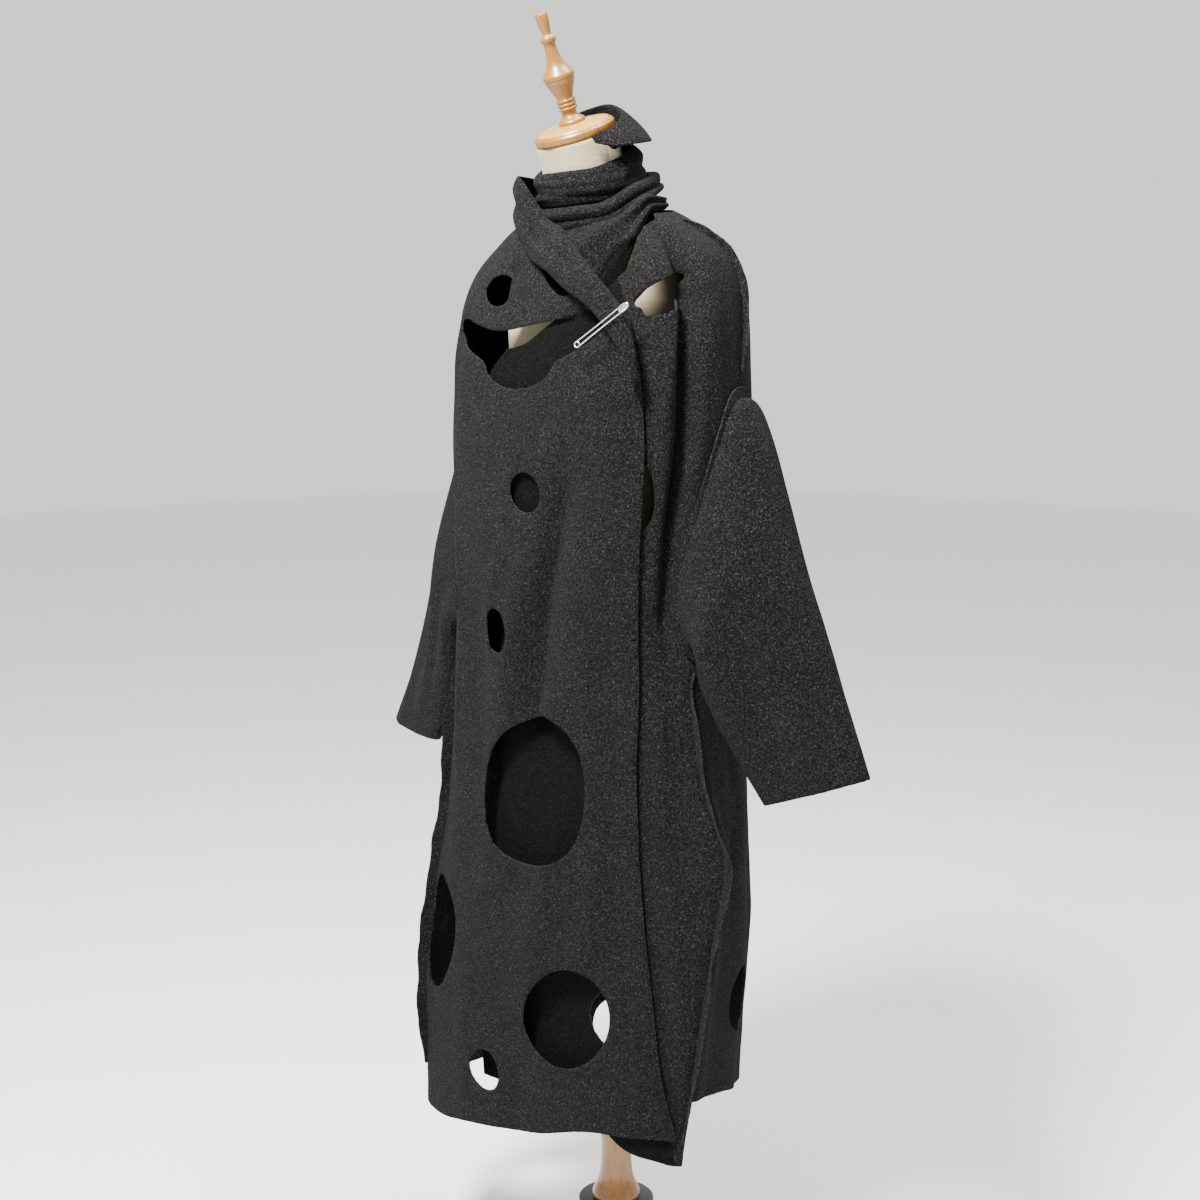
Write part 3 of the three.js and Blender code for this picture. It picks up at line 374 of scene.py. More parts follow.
SEAT = 0.3  # gap between stacked pieces

CAP_PROFILE = [
    (0, 0), (51, 0), (53.5, 3), (53.5, 9), (51, 12), (48, 12.5), (47, 14.5), (37, 16.5), (35, 15.5),
    (24, 18), (0, 18),
]
FINIAL_PROFILE = [
    (0, 0), (18, 0), (17, 4), (11, 9), (9.5, 15), (12.3, 18), (12.3, 20), (10.8, 21.5),
    (12.3, 23), (12.3, 25), (10.8, 26.5), (12.3, 28), (12.3, 30), (10.6, 32), (14, 41), (18.6, 52),
    (19.6, 57), (20.4, 58), (20.8, 61), (20.2, 63), (17.5, 67), (12.6, 74), (9.4, 83), (7.9, 93),
    (7.5, 100), (9.8, 104), (10.2, 107), (9.4, 109.5), (6.2, 113), (6.4, 119), (7.6, 127), (8, 135),
    (7.2, 139), (5.5, 140), (0, 140),
]
COLUMN_PROFILE = [
    (0, 100), (33, 100), (34, 106), (31, 114), (25, 128), (22, 148), (21, 176), (23, 196), (26, 206),
    (24, 214), (17, 220), (12, 228), (10, 236), (0, 236),
]
FLANGE_PROFILE = [(0, 92), (51, 92), (53, 93.5), (53, 98), (51, 99.7), (0, 99.7)]
STEM_PROFILE = [(0, 12.3), (15, 12.3), (15, 91.7), (0, 91.7)]
ROD_PROFILE = [(0, 236.3), (8, 236.3), (8, 801.7), (0, 801.7)]
PLATE_PROFILE = [(0, 0), (165, 0), (165, 9), (163, 12), (0, 12)]

# The stage in metres. Each light has a name, place, target, size, share of the key's power and colour.
LIGHTS = [
    ("key", (0.35, -1.6, 3.0), (0, 0, 1.2), 0.7, 1.0, "#fffdf9"),
    ("top", (0.6, 0.3, 3.6), (0, 0, 1.2), 1.2, 0.25, "#ffffff"),
]
FLOOR_REACH, FLOOR_DROP = 14, 0.0005
SKY, SKY_STRENGTH = "#fbfbfa", 1.2


# Sizes and colours that a user would change

class CoatSettings(bpy.types.PropertyGroup):
    """The coat's cloth."""

    thickness: bpy.props.FloatProperty(
        name="Cloth thickness", description="Thickness of the boiled wool",
        default=CLOTH * METRE, min=0.002, max=0.004, unit="LENGTH",
    )
    creases: bpy.props.FloatProperty(
        name="Creases", description="Depth of the soft creases over the main folds",
        default=1.0, min=0, max=1.5, subtype="FACTOR",
    )
    undulation: bpy.props.FloatProperty(
        name="Undulation", description="How far the felted cloth waves in and out between its folds",
        default=0.0016, min=0, max=0.004, unit="LENGTH",
    )
    dark: bpy.props.FloatVectorProperty(
        name="Dark fibre", description="Colour of the wool's dark fibres",
        default=linear("#040405"), size=3, subtype="COLOR",
    )
    light: bpy.props.FloatVectorProperty(
        name="Light fibre", description="Colour of the light fibres that speckle the wool",
        default=linear("#403f3f"), size=3, subtype="COLOR",
    )


class StandSettings(bpy.types.PropertyGroup):
    """The form and its stand."""

    linen: bpy.props.FloatVectorProperty(
        name="Linen", description="Colour of the form's cover",
        default=linear("#9a9076"), size=3, subtype="COLOR",
    )
    wood: bpy.props.FloatVectorProperty(
        name="Wood", description="Colour of the turned wood",
        default=linear("#7d5310"), size=3, subtype="COLOR",
    )
    metal: bpy.props.FloatVectorProperty(
        name="Painted metal", description="Colour of the painted flange, stem and base",
        default=linear("#2f2b28"), size=3, subtype="COLOR",
    )


class StudioSettings(bpy.types.PropertyGroup):
    """The camera, the light and the floor."""

    azimuth: bpy.props.FloatProperty(
        name="Azimuth", description="How far round from the coat's front the camera stands",
        default=math.radians(45), subtype="ANGLE",
    )
    distance: bpy.props.FloatProperty(
        name="Distance", description="Level distance from the pole to the camera", default=2.4, unit="LENGTH",
    )
    height: bpy.props.FloatProperty(
        name="Height", description="Height of the camera over the floor", default=1.25, unit="LENGTH",
    )
    tilt: bpy.props.FloatProperty(
        name="Tilt", description="How far down the camera looks", default=math.radians(7.1), subtype="ANGLE",
    )
    pan: bpy.props.FloatProperty(
        name="Pan", description="How far left of the pole the camera looks",
        default=math.atan((VIEW_AXIS - VIEW_SIDE / 2) / VIEW_FOCAL), subtype="ANGLE",
    )
    lens: bpy.props.FloatProperty(
        name="Lens", description="Focal length in millimetres over a 36 mm sensor",
        default=SENSOR * VIEW_FOCAL / VIEW_SIDE,
    )
    key: bpy.props.FloatProperty(
        name="Key light", description="Power of the main light", default=380, unit="POWER",
    )
    floor: bpy.props.FloatVectorProperty(
        name="Floor", description="Colour of the floor", default=linear("#f4f4f2"), size=3, subtype="COLOR",
    )


# Geometry of the worn cloth

def smooth(value):
    value = np.clip(value, 0, 1)
    return value * value * (3 - 2 * value)


def turn_between(angle, crest):
    return (angle - crest + 180) % 360 - 180


def value_noise(points, size, seed):
    """Smooth noise from -1 to 1 at points, with lumps of about that size."""
    lattice = np.random.default_rng(seed).uniform(-1, 1, (32, 32, 32))
    place = points / size
    cell = np.floor(place).astype(int)
    part = place - cell
    part = part * part * (3 - 2 * part)
    total = np.zeros(points.shape[:-1])
    for corner in np.ndindex(2, 2, 2):
        index = [(cell[..., k] + corner[k]) % 32 for k in range(3)]
        weight = np.prod([part[..., k] if corner[k] else 1 - part[..., k] for k in range(3)], axis=0)
        total += weight * lattice[index[0], index[1], index[2]]
    return total


def armhole_half(fall):
    share = np.abs((fall - ARMHOLE["fall"]) / ARMHOLE["drop"])
    inside = np.clip(1 - share ** ARMHOLE["square"], 0, None)
    return ARMHOLE["reach"] * inside ** (1 / ARMHOLE["square"]), share < 1


def left_seam(fall, side):
    """The left seam's angle: side -1 is the front's edge and 1 the back's."""
    fall = np.asarray(fall, float)
    half, beside = armhole_half(fall)
    middle = ARMHOLE["angle"] - ARMHOLE["lean"] * (fall - ARMHOLE["fall"]) / ARMHOLE["drop"]
    plain = np.where(
        fall > ARMHOLE["fall"], LOWER_SEAM.read("angle", fall), UPPER_SEAM.read("angle", fall) + 360
    )
    return np.where(beside, middle + side * half, plain)


def right_seam(fall, side):
    return 540 - left_seam(fall, side)


def fold_height(angle, fall, creases=1.0):
    """Height of the folds and creases over the plain body."""
    height = np.zeros(np.broadcast(angle, fall).shape)
    for rows, strength in ((FOLDS, 1.0), (CREASES, creases)):
        for fold in rows.each():
            share = np.clip((fall - fold["fall"]) / (fold["toFall"] - fold["fall"]), 0, 1)
            crest = fold["angle"] + (fold["toAngle"] - fold["angle"]) * share
            crest = crest + fold["bow"] * 4 * share * (1 - share)
            aside = turn_between(angle, crest)
            inside = np.clip(fall, fold["fall"] + fold["end"] / 2, fold["toFall"] - fold["end"] / 2)
            fade = np.exp(-(((fall - inside) / fold["end"]) ** 2))
            height += strength * fold["depth"] * np.exp(-((aside / fold["width"]) ** 2)) * fade
    low = fall > SEAM_RIDGE.rows[0][0]
    for side, seam in (("left", left_seam(fall, -1)), ("right", right_seam(fall, -1))):
        aside = turn_between(angle, seam)
        height += np.where(low, SEAM_RIDGE.read(side, fall) * np.exp(-((aside / RIDGE_WIDTH) ** 2)), 0)
    return height


def body_point(angle, fall, folded=True, creases=1.0):
    """A point of the body's middle surface, in millimetres."""
    read = {name: BODY.read(name, fall) for name in BODY.names[1:]}
    cos, sin = np.cos(np.radians(angle)), np.sin(np.radians(angle))
    corner = read["corner"]
    square = (np.abs(cos) ** corner + np.abs(sin) ** corner) ** (-1 / corner)
    x = np.where(cos >= 0, read["left"], read["right"]) * cos * square
    y = np.where(sin >= 0, read["back"], read["front"]) * sin * square
    if folded:
        swell = 1 + fold_height(angle, fall, creases) / np.hypot(x, y)
        x, y = x * swell, y * swell
    twist = np.radians(read["twist"])
    return np.stack(np.broadcast_arrays(
        read["x"] + x * np.cos(twist) - y * np.sin(twist),
        read["y"] + x * np.sin(twist) + y * np.cos(twist),
        read["sideZ"] * cos**2 + np.where(sin > 0, read["backZ"], read["frontZ"]) * sin**2,
    ), axis=-1)


def unit(vectors):
    return vectors / np.maximum(np.linalg.norm(vectors, axis=-1, keepdims=True), 1e-12)


def plain_normal(angle, fall):
    across = body_point(angle + 0.5, fall, False) - body_point(angle - 0.5, fall, False)
    down = body_point(angle, fall + 2, False) - body_point(angle, fall - 2, False)
    return unit(np.cross(down, across))


def per_degree(angle, fall):
    """Millimetres of cloth for one degree round the body."""
    ahead, behind = body_point(angle + 1, fall, False), body_point(angle - 1, fall, False)
    return np.linalg.norm(ahead - behind, axis=-1) / 2


def layer_point(layer, angle, fall, creases):
    """A point of a panel: the left front lies inside the right front's lap and hangs deeper below."""
    point = body_point(angle, fall, True, creases)
    dent = np.zeros(np.broadcast(angle, fall).shape)
    for row in (row for row in DENTS.each() if row["layer"] == LAYER_NUMBERS[layer]):
        near = ((angle - row["angle"]) / row["across"]) ** 2 + ((fall - row["fall"]) / row["down"]) ** 2
        dent += row["depth"] * np.exp(-near)
    point = point + plain_normal(angle, fall) * (dent * creases)[..., None]
    if layer != "left":
        return point
    past = (angle - LAP_EDGE.read("angle", fall) - 2) / LAP_BLEND
    hang = smooth((fall - 330) / 300) * smooth((310 - angle) / 30)
    inset = -UNDERLAP * (1 - smooth(past)) - UNDER_HANG * hang
    return point + plain_normal(angle, fall) * inset[..., None]


# Meshes

def make_object(name, points, faces, materials, kinds, node):
    """A smooth mesh from points in millimetres, riding on the frame and standing for its solid.

    kinds gives each face's material number, or one number for all of them."""
    mesh = bpy.data.meshes.new(name)
    mesh.from_pydata((np.asarray(points) * METRE).tolist(), [], [tuple(map(int, face)) for face in faces])
    for material in materials:
        mesh.materials.append(material)
    mesh.polygons.foreach_set("material_index", np.full(len(faces), kinds, dtype=np.int32))
    mesh.polygons.foreach_set("use_smooth", np.ones(len(mesh.polygons), dtype=bool))
    mesh.update()
    if mesh.validate():
        raise RuntimeError(f"{name}: its mesh had faults")
    piece = bpy.data.objects.new(name, mesh)
    bpy.context.scene.collection.objects.link(piece)
    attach(piece, BODY_NAME)
    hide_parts(node)
    return piece


def grid_faces(rows, columns, wraps=False):
    """Quads of a grid of points in row order; one that wraps joins its last column to its first."""
    last = columns if wraps else columns - 1
    row, column = np.meshgrid(np.arange(rows - 1), np.arange(last), indexing="ij")
    beside = (column + 1) % columns
    corners = [row * columns + column, (row + 1) * columns + column,
               (row + 1) * columns + beside, row * columns + beside]
    return np.stack(corners, axis=-1).reshape(-1, 4)


def grid_quads(rows, columns, wraps=False):
    return [tuple(face) for face in grid_faces(rows, columns, wraps)]


def tube_faces(rows, columns):
    """Faces of a tube of rings, closed at both ends."""
    first, last = tuple(range(columns)), tuple(range((rows - 1) * columns, rows * columns))
    return grid_quads(rows, columns, True) + [first, last[::-1]]


def as_triangles(faces):
    return np.array([(f[0], f[k], f[k + 1]) for f in faces for k in range(1, len(f) - 1)], dtype=int)


def point_normals(points, faces):
    triangles = as_triangles(faces)
    a, b, c = (points[triangles[:, k]] for k in range(3))
    cross = np.cross(b - a, c - a)
    normals = np.zeros_like(points)
    for k in range(3):
        np.add.at(normals, triangles[:, k], cross)
    return unit(normals)


def thicken(points, faces, thickness, shaded=None):
    """Turns a sheet into cloth: two faces and a rounded raw edge, as points, faces and material numbers.

    Material 0 is the cloth, 1 its raw edge, lighter as a painted highlight, and 2, on both sides, the faces
    with all points in shaded, darker as painted shade."""
    normals = point_normals(points, faces)
    half = thickness / 2
    count = len(points)
    edges = dict.fromkeys((a, b) for face in faces for a, b in zip(face, (*face[1:], face[0])))
    rim = [(a, b) for a, b in edges if (b, a) not in edges]
    outward = np.zeros_like(points)
    for a, b in rim:
        side = np.cross(points[b] - points[a], normals[a])
        side /= max(np.linalg.norm(side), 1e-9)
        outward[a] += side
        outward[b] += side
    outward = unit(outward)
    ends = sorted({a for a, b in rim})
    order = {a: k for k, a in enumerate(ends)}
    fray = value_noise(points[ends], FRAY_SIZE, FRAY_SEED)[:, None] * FRAY_DEPTH
    bulge = outward[ends] * (half * EDGE_BULGE + fray)
    rings = [points[ends] + normals[ends] * half * EDGE_HEIGHT + bulge,
             points[ends] - normals[ends] * half * EDGE_HEIGHT + bulge]
    all_points = np.concatenate([points + normals * half, points - normals * half, *rings])
    first, second = 2 * count, 2 * count + len(ends)
    all_faces = [tuple(face) for face in faces] + [tuple(v + count for v in face[::-1]) for face in faces]
    kinds = [2 if shaded is not None and all(shaded[v] for v in face) else 0 for face in faces] * 2
    for a, b in rim:
        ra, rb = order[a], order[b]
        all_faces += [(b, a, first + ra, first + rb), (first + rb, first + ra, second + ra, second + rb),
                      (second + rb, second + ra, a + count, b + count)]
        kinds += [1, 1, 1]
    return all_points, all_faces, kinds


def joined(parts):
    """Several (points, faces, kinds) as one."""
    points, faces, kinds, offset = [], [], [], 0
    for part_points, part_faces, part_kinds in parts:
        points.append(part_points)
        faces += [tuple(v + offset for v in face) for face in part_faces]
        kinds += part_kinds
        offset += len(part_points)
    return np.concatenate(points), faces, kinds


def cut_distance(panel, angle, fall):
    """Millimetres from the nearest cut-out's rim, below 0 inside it."""
    nearest = np.full(np.broadcast(angle, fall).shape, 1e3)
    for name, at, down_at, width, height, outline in CUT_ROWS:
        if name != panel:
            continue
        scale = per_degree(np.array(float(at)), np.array(float(down_at)))
        across = (angle - at) * scale / (width / 2)
        down = (fall - down_at) / (height / 2)
        turn = np.degrees(np.arctan2(down, across))
        mean, waves = OUTLINES[outline]
        reach = mean + sum(
            share * np.cos(np.radians(count * (turn - at_turn))) for count, share, at_turn in waves
        )
        distance = (np.hypot(across, down) / reach - 1) * min(width, height) / 2
        nearest = np.minimum(nearest, distance)
    return nearest


def cut_grid(panel, angle, fall):
    """Cuts a grid of (angle, fall) along the cut-outs' rims; gives the kept places and their faces."""
    rows, columns = angle.shape
    angle, fall = angle.copy(), fall.copy()
    distance = cut_distance(panel, angle, fall)
    scale = per_degree(angle, fall)
    near = np.abs(distance) < SNAP * CELL
    for _ in range(2):
        ahead, behind = cut_distance(panel, angle + 0.1, fall), cut_distance(panel, angle - 0.1, fall)
        gradient_u = (ahead - behind) / (0.2 * scale)
        below, above = cut_distance(panel, angle, fall + 0.4), cut_distance(panel, angle, fall - 0.4)
        gradient_v = (below - above) / 0.8
        size = np.maximum(gradient_u**2 + gradient_v**2, 1e-3)
        angle = np.where(near, angle - distance * gradient_u / size / scale, angle)
        fall = np.where(near, fall - distance * gradient_v / size, fall)
        distance = cut_distance(panel, angle, fall)
    distance = np.where(near, 0, distance).ravel()
    places = np.stack([angle.ravel(), fall.ravel()], axis=-1)
    quads = grid_faces(rows, columns)
    inside = distance[quads] < 0
    faces = [tuple(quad) for quad in quads[~inside.any(axis=1)]]
    added, crossing = [], {}
    for quad in quads[inside.any(axis=1) & (distance[quads] > 0).any(axis=1)]:
        outline = []
        for a, b in zip(quad, np.roll(quad, -1)):
            if distance[a] >= 0:
                outline.append(int(a))
            if distance[a] * distance[b] < 0:
                key = (min(a, b), max(a, b))
                if key not in crossing:
                    share = distance[a] / (distance[a] - distance[b])
                    crossing[key] = len(places) + len(added)
                    added.append(places[a] + (places[b] - places[a]) * share)
                outline.append(crossing[key])
        if len(outline) >= 3:
            faces.append(tuple(outline))
    if added:
        places = np.concatenate([places, np.array(added)])
    used = sorted({v for face in faces for v in face})
    order = np.full(len(places), -1)
    order[used] = np.arange(len(used))
    return places[used], [tuple(int(order[v]) for v in face) for face in faces]


def panel_places(stations, tops, hems):
    """Angles and falls of a panel's grid. Each station is an angle for every fall and its columns."""
    base = np.unique(np.concatenate([
        np.linspace(0, LAST_FALL, int(LAST_FALL / CELL) + 1), EXTRA_ROWS,
    ]))

    def angles(local, fall):
        angle = np.empty(np.broadcast(local, fall).shape)
        start = 0
        for (left, _), (right, columns) in zip(stations, stations[1:]):
            chosen = (local >= start) & (local <= start + columns)
            share = (local - start) / columns
            angle = np.where(chosen, left(fall) + (right(fall) - left(fall)) * share, angle)
            start += columns
        return angle

    columns = sum(count for _, count in stations)
    local = np.arange(columns + 1)[None, :]
    top = tops.read("fall", angles(local, np.full(local.shape, float(TOP_READ))))
    hem = hems.read("fall", angles(local, np.full(local.shape, float(HEM_READ))))
    fall = np.repeat(base[:, None], columns + 1, axis=1)
    low = (fall - HEM_ZONE) / (LAST_FALL - HEM_ZONE)
    fall = np.where(fall < TOP_ZONE, top + (TOP_ZONE - top) * fall / TOP_ZONE,
                    np.where(fall > HEM_ZONE, HEM_ZONE + (hem - HEM_ZONE) * low, fall))
    return angles(np.broadcast_to(local, fall.shape), fall), fall


def wave(points, amount):
    """The felted cloth's soft waves at these points, in millimetres."""
    return amount * sum(row["share"] * value_noise(points, row["size"], row["seed"]) for row in WAVES.each())


def panel_cloth(layer, stations, tops, hems, settings, shaded=None):
    """A panel as cloth; shaded tells which (angle, fall) take the darker wool, painted shade for where the
    cloth lies in deep shadow.
    """
    angle, fall = panel_places(stations, tops, hems)
    places, faces = cut_grid(layer, angle, fall)
    points = layer_point(layer, places[:, 0], places[:, 1], settings.creases)
    amount = settings.undulation / METRE
    points = points + plain_normal(places[:, 0], places[:, 1]) * wave(points, amount)[:, None]
    marked = None if shaded is None else shaded(places[:, 0], places[:, 1])
    return thicken(points, faces, settings.thickness / METRE, marked)


def allowance_cloth(layer, seam, sign, start, end, full, settings):
    """A raised seam allowance, leaning and waving a little along its free edge."""
    fall = np.linspace(start, end, int((end - start) / CELL) + 1)
    share = np.linspace(0, 1, 6)
    t = (fall - start) / (end - start)
    fade = np.minimum(1, 0.3 + 5 * np.minimum(t, 1 - t))
    uneven = 1 + 0.1 * np.sin(fall / 23) + 0.06 * np.sin(fall / 9.1 + 1)
    sway = 1.6 * np.sin(fall / 31 + 0.6) + 0.8 * np.sin(fall / 13)
    fall, share = fall[:, None], share[None, :]
    aside = ALLOWANCE_IN + (1.2 + sway[:, None]) * share**1.6
    angle = seam(fall) + sign * aside / per_degree(seam(fall), fall)
    points = layer_point(layer, angle + 0 * share, fall + 0 * share, settings.creases)
    normal = plain_normal(angle + 0 * share, fall + 0 * share)
    height = CLOTH / 2 + full * (fade * uneven)[:, None] * share
    points = points + normal * (height - CLOTH / 2 * (1 - share) - 0.4)[..., None]
    return thicken(points.reshape(-1, 3), grid_quads(*points.shape[:2]), ALLOWANCE_WALL)


def allowances(layer, seam, sign, settings):
    return [allowance_cloth(layer, seam, sign, *row, settings) for row in ALLOWANCES.rows]


def fixed(angle):
    """A grid station at one angle, whatever the fall."""
    return lambda fall: angle + 0 * fall


def short(seam, sign):
    """A seam's angle half a gap short of it."""
    return lambda fall: seam(fall) + sign * SEAM_HALF_GAP / per_degree(seam(fall), fall)


def settings_of(context):
    return context.scene.coat_cloth, context.scene.coat_stand, context.scene.coat_studio


# Materials

def add(tree, kind, settings=None, inputs=None):
    """One node, with its settings, and its inputs given as values or as other nodes' outputs."""
    node = tree.nodes.new(kind)
    for name, value in (settings or {}).items():
        setattr(node, name, value)
    for name, value in (inputs or {}).items():
        if isinstance(value, bpy.types.NodeSocket):
            tree.links.new(value, node.inputs[name])
        else:
            node.inputs[name].default_value = value
    return node


def new_material(name):
    material = bpy.data.materials.get(name)
    if material:
        return material, None
    material = bpy.data.materials.new(name)
    material.use_nodes = True
    material.node_tree.nodes.clear()
    return material, material.node_tree


def set_ramp(node, *stops):
    """Colour stops as (place, colour)."""
    elements = node.color_ramp.elements
    while len(elements) > len(stops):
        elements.remove(elements[-1])
    while len(elements) < len(stops):
        elements.new(0.5)
    for element, (place, colour) in zip(elements, stops):
        element.position = place
        element.color = rgba(colour)
    return node


def grey(value):
    return (value, value, value)


def per_metre(millimetres):
    """Noise scale for lumps of that real size."""
    return 1000 / millimetres


def boiled_wool(name, cloth, depth=1.0, lift=0.0):
    """Boiled wool: felted, so it has no weave; dark fibres with light ones caught in them, and a short nap.

    depth below 1 is a darker wool that stands for deep shade; the real cloth is the same all over.
    lift lightens the cut edge: a painted highlight for the light that the raw edges catch."""
    material, tree = new_material(name)
    if tree is None:
        return material
    place = add(tree, "ShaderNodeTexCoord").outputs["Object"]
    # Fibres are about 0.02 mm thick. They are drawn as clumps of 3.2 mm, specks of 1.9 mm and strands
    # in 7 mm noise, so that they show.
    clumps = add(tree, "ShaderNodeTexNoise", inputs={
        "Vector": place, "Scale": per_metre(3.2), "Detail": 3.0, "Roughness": 0.6})
    pills = add(tree, "ShaderNodeTexNoise", inputs={
        "Vector": place, "Scale": per_metre(1.9), "Detail": 2.0, "Roughness": 0.6, "Distortion": 0.8})
    hairs = add(tree, "ShaderNodeTexNoise", inputs={
        "Vector": place, "Scale": per_metre(7), "Detail": 3.0, "Roughness": 0.7, "Distortion": 2.2})
    drift = add(tree, "ShaderNodeTexNoise", inputs={"Vector": place, "Scale": per_metre(70), "Detail": 2.0})
    dark = tuple(c * depth for c in cloth.dark)
    light = tuple(c * depth for c in cloth.light)
    mid = tuple(d + (l - d) * (0.035 + lift * 0.6) for d, l in zip(dark, light))
    high = tuple(d + (l - d) * (0.17 + lift) for d, l in zip(dark, light))
    body = set_ramp(add(tree, "ShaderNodeValToRGB", inputs={"Fac": clumps.outputs[0]}),
                    (0.38, tuple(c * 0.5 for c in dark)), (0.51, mid), (0.66, high))
    thread = set_ramp(add(tree, "ShaderNodeValToRGB", inputs={"Fac": hairs.outputs[0]}),
                      (0.485, grey(0)), (0.5, grey(0.28)), (0.515, grey(0)))
    speck = set_ramp(add(tree, "ShaderNodeValToRGB", inputs={"Fac": pills.outputs[0]}),
                     (0.57, grey(0)), (0.69, grey(0.75)))
    fibre = add(tree, "ShaderNodeMath", {"operation": "MAXIMUM"}, {0: thread.outputs[0], 1: speck.outputs[0]})
    speckled = add(tree, "ShaderNodeMix", {"data_type": "RGBA"}, {
        0: fibre.outputs[0], 6: body.outputs[0], 7: rgba(light)})
    shade = set_ramp(add(tree, "ShaderNodeValToRGB", inputs={"Fac": drift.outputs[0]}),
                     (0.3, grey(0.84)), (0.7, grey(1.0)))
    colour = add(tree, "ShaderNodeMix", {"data_type": "RGBA", "blend_type": "MULTIPLY"}, {
        0: 1.0, 6: speckled.outputs[2], 7: shade.outputs[0]})
    height = add(tree, "ShaderNodeMath", {"operation": "MULTIPLY_ADD"}, {
        0: pills.outputs[0], 1: 0.45, 2: clumps.outputs[0]})
    bump = add(tree, "ShaderNodeBump", inputs={
        "Strength": 1.0, "Distance": 0.0042, "Height": height.outputs[0]})
    shader = add(tree, "ShaderNodeBsdfPrincipled", inputs={
        "Base Color": colour.outputs[2], "Normal": bump.outputs[0], "Roughness": 0.96, "IOR": 1.5,
        "Specular IOR Level": 0.06, "Sheen Weight": 0.02 * depth, "Sheen Roughness": 0.55,
        "Sheen Tint": rgba(linear("#b9b7b4"))})
    add(tree, "ShaderNodeOutputMaterial", inputs={"Surface": shader.outputs[0]})
    return material


def woven_linen(stand):
    """Woven linen over a padded form: faint bands and slubs, matt and creamy."""
    material, tree = new_material("woven_linen")
    if tree is None:
        return material
    place = add(tree, "ShaderNodeTexCoord").outputs["Object"]
    # Threads are about 0.6 mm apart, too fine to show. This scale draws soft bands about 7.5 mm apart.
    band_scale = per_metre(1.2) / 20
    across = add(tree, "ShaderNodeTexWave", {"bands_direction": "Z"}, {
        "Vector": place, "Scale": band_scale, "Distortion": 1.2, "Detail": 2.0, "Detail Scale": 2.0})
    around = add(tree, "ShaderNodeTexWave", {"bands_direction": "X"}, {
        "Vector": place, "Scale": band_scale, "Distortion": 1.2, "Detail": 2.0, "Detail Scale": 2.0})
    slub = add(tree, "ShaderNodeTexNoise", inputs={"Vector": place, "Scale": per_metre(14), "Detail": 4.0})
    weave = add(tree, "ShaderNodeMath", {"operation": "MULTIPLY"}, {
        0: across.outputs[1], 1: around.outputs[1]})
    colour = set_ramp(add(tree, "ShaderNodeValToRGB", inputs={"Fac": slub.outputs[0]}),
                      (0.3, tuple(c * 0.9 for c in stand.linen)), (0.7, tuple(stand.linen)))
    bump = add(tree, "ShaderNodeBump", inputs={
        "Strength": 0.25, "Distance": 0.0004, "Height": weave.outputs[0]})
    shader = add(tree, "ShaderNodeBsdfPrincipled", inputs={
        "Base Color": colour.outputs[0], "Normal": bump.outputs[0], "Roughness": 0.85, "IOR": 1.5,
        "Specular IOR Level": 0.3, "Sheen Weight": 0.15, "Sheen Tint": rgba(linear("#f2ecdf"))})
    add(tree, "ShaderNodeOutputMaterial", inputs={"Surface": shader.outputs[0]})
    return material


def turned_beech(stand, name, tilt, paler=1.0):
    """Turned and varnished pale hardwood: long grain along the lathe's axis, darker pores, a satin coat."""
    material, tree = new_material(name)
    if tree is None:
        return material
    place = add(tree, "ShaderNodeTexCoord").outputs["Object"]
    set_up = add(tree, "ShaderNodeMapping", {"vector_type": "POINT"}, {
        "Vector": place, "Rotation": (-math.radians(tilt), 0, 0)})
    # Grain is drawn as 5 mm lumps, eleven times as long along the axis, with 0.9 mm pores.
    stretched = add(tree, "ShaderNodeVectorMath", {"operation": "MULTIPLY"}, {
        0: set_up.outputs[0], 1: (1.0, 1.0, 0.09)})
    grain = add(tree, "ShaderNodeTexNoise", inputs={
        "Vector": stretched.outputs[0], "Scale": per_metre(5), "Detail": 5.0, "Roughness": 0.6,
        "Distortion": 0.5})
    pores = add(tree, "ShaderNodeTexNoise", inputs={
        "Vector": stretched.outputs[0], "Scale": per_metre(0.9), "Detail": 2.0})
    warm = tuple(min(0.9, c * paler**power) for c, power in zip(stand.wood, (1.0, 1.35, 2.4)))
    colour = set_ramp(add(tree, "ShaderNodeValToRGB", inputs={"Fac": grain.outputs[0]}),
                      (0.32, (warm[0] * 0.72, warm[1] * 0.62, warm[2] * 0.5)), (0.5, warm),
                      (0.72, tuple(min(1, c * 1.12) for c in warm)))
    flecks = set_ramp(add(tree, "ShaderNodeValToRGB", inputs={"Fac": pores.outputs[0]}),
                      (0.34, grey(0.72)), (0.44, grey(1)))
    mixed = add(tree, "ShaderNodeMix", {"data_type": "RGBA", "blend_type": "MULTIPLY"}, {
        0: 1.0, 6: colour.outputs[0], 7: flecks.outputs[0]})
    bump = add(tree, "ShaderNodeBump", inputs={
        "Strength": 0.12, "Distance": 0.0005, "Height": grain.outputs[0]})
    shader = add(tree, "ShaderNodeBsdfPrincipled", inputs={
        "Base Color": mixed.outputs[2], "Normal": bump.outputs[0], "Roughness": 0.38, "IOR": 1.5,
        "Coat Weight": 0.35, "Coat Roughness": 0.18})
    add(tree, "ShaderNodeOutputMaterial", inputs={"Surface": shader.outputs[0]})
    return material


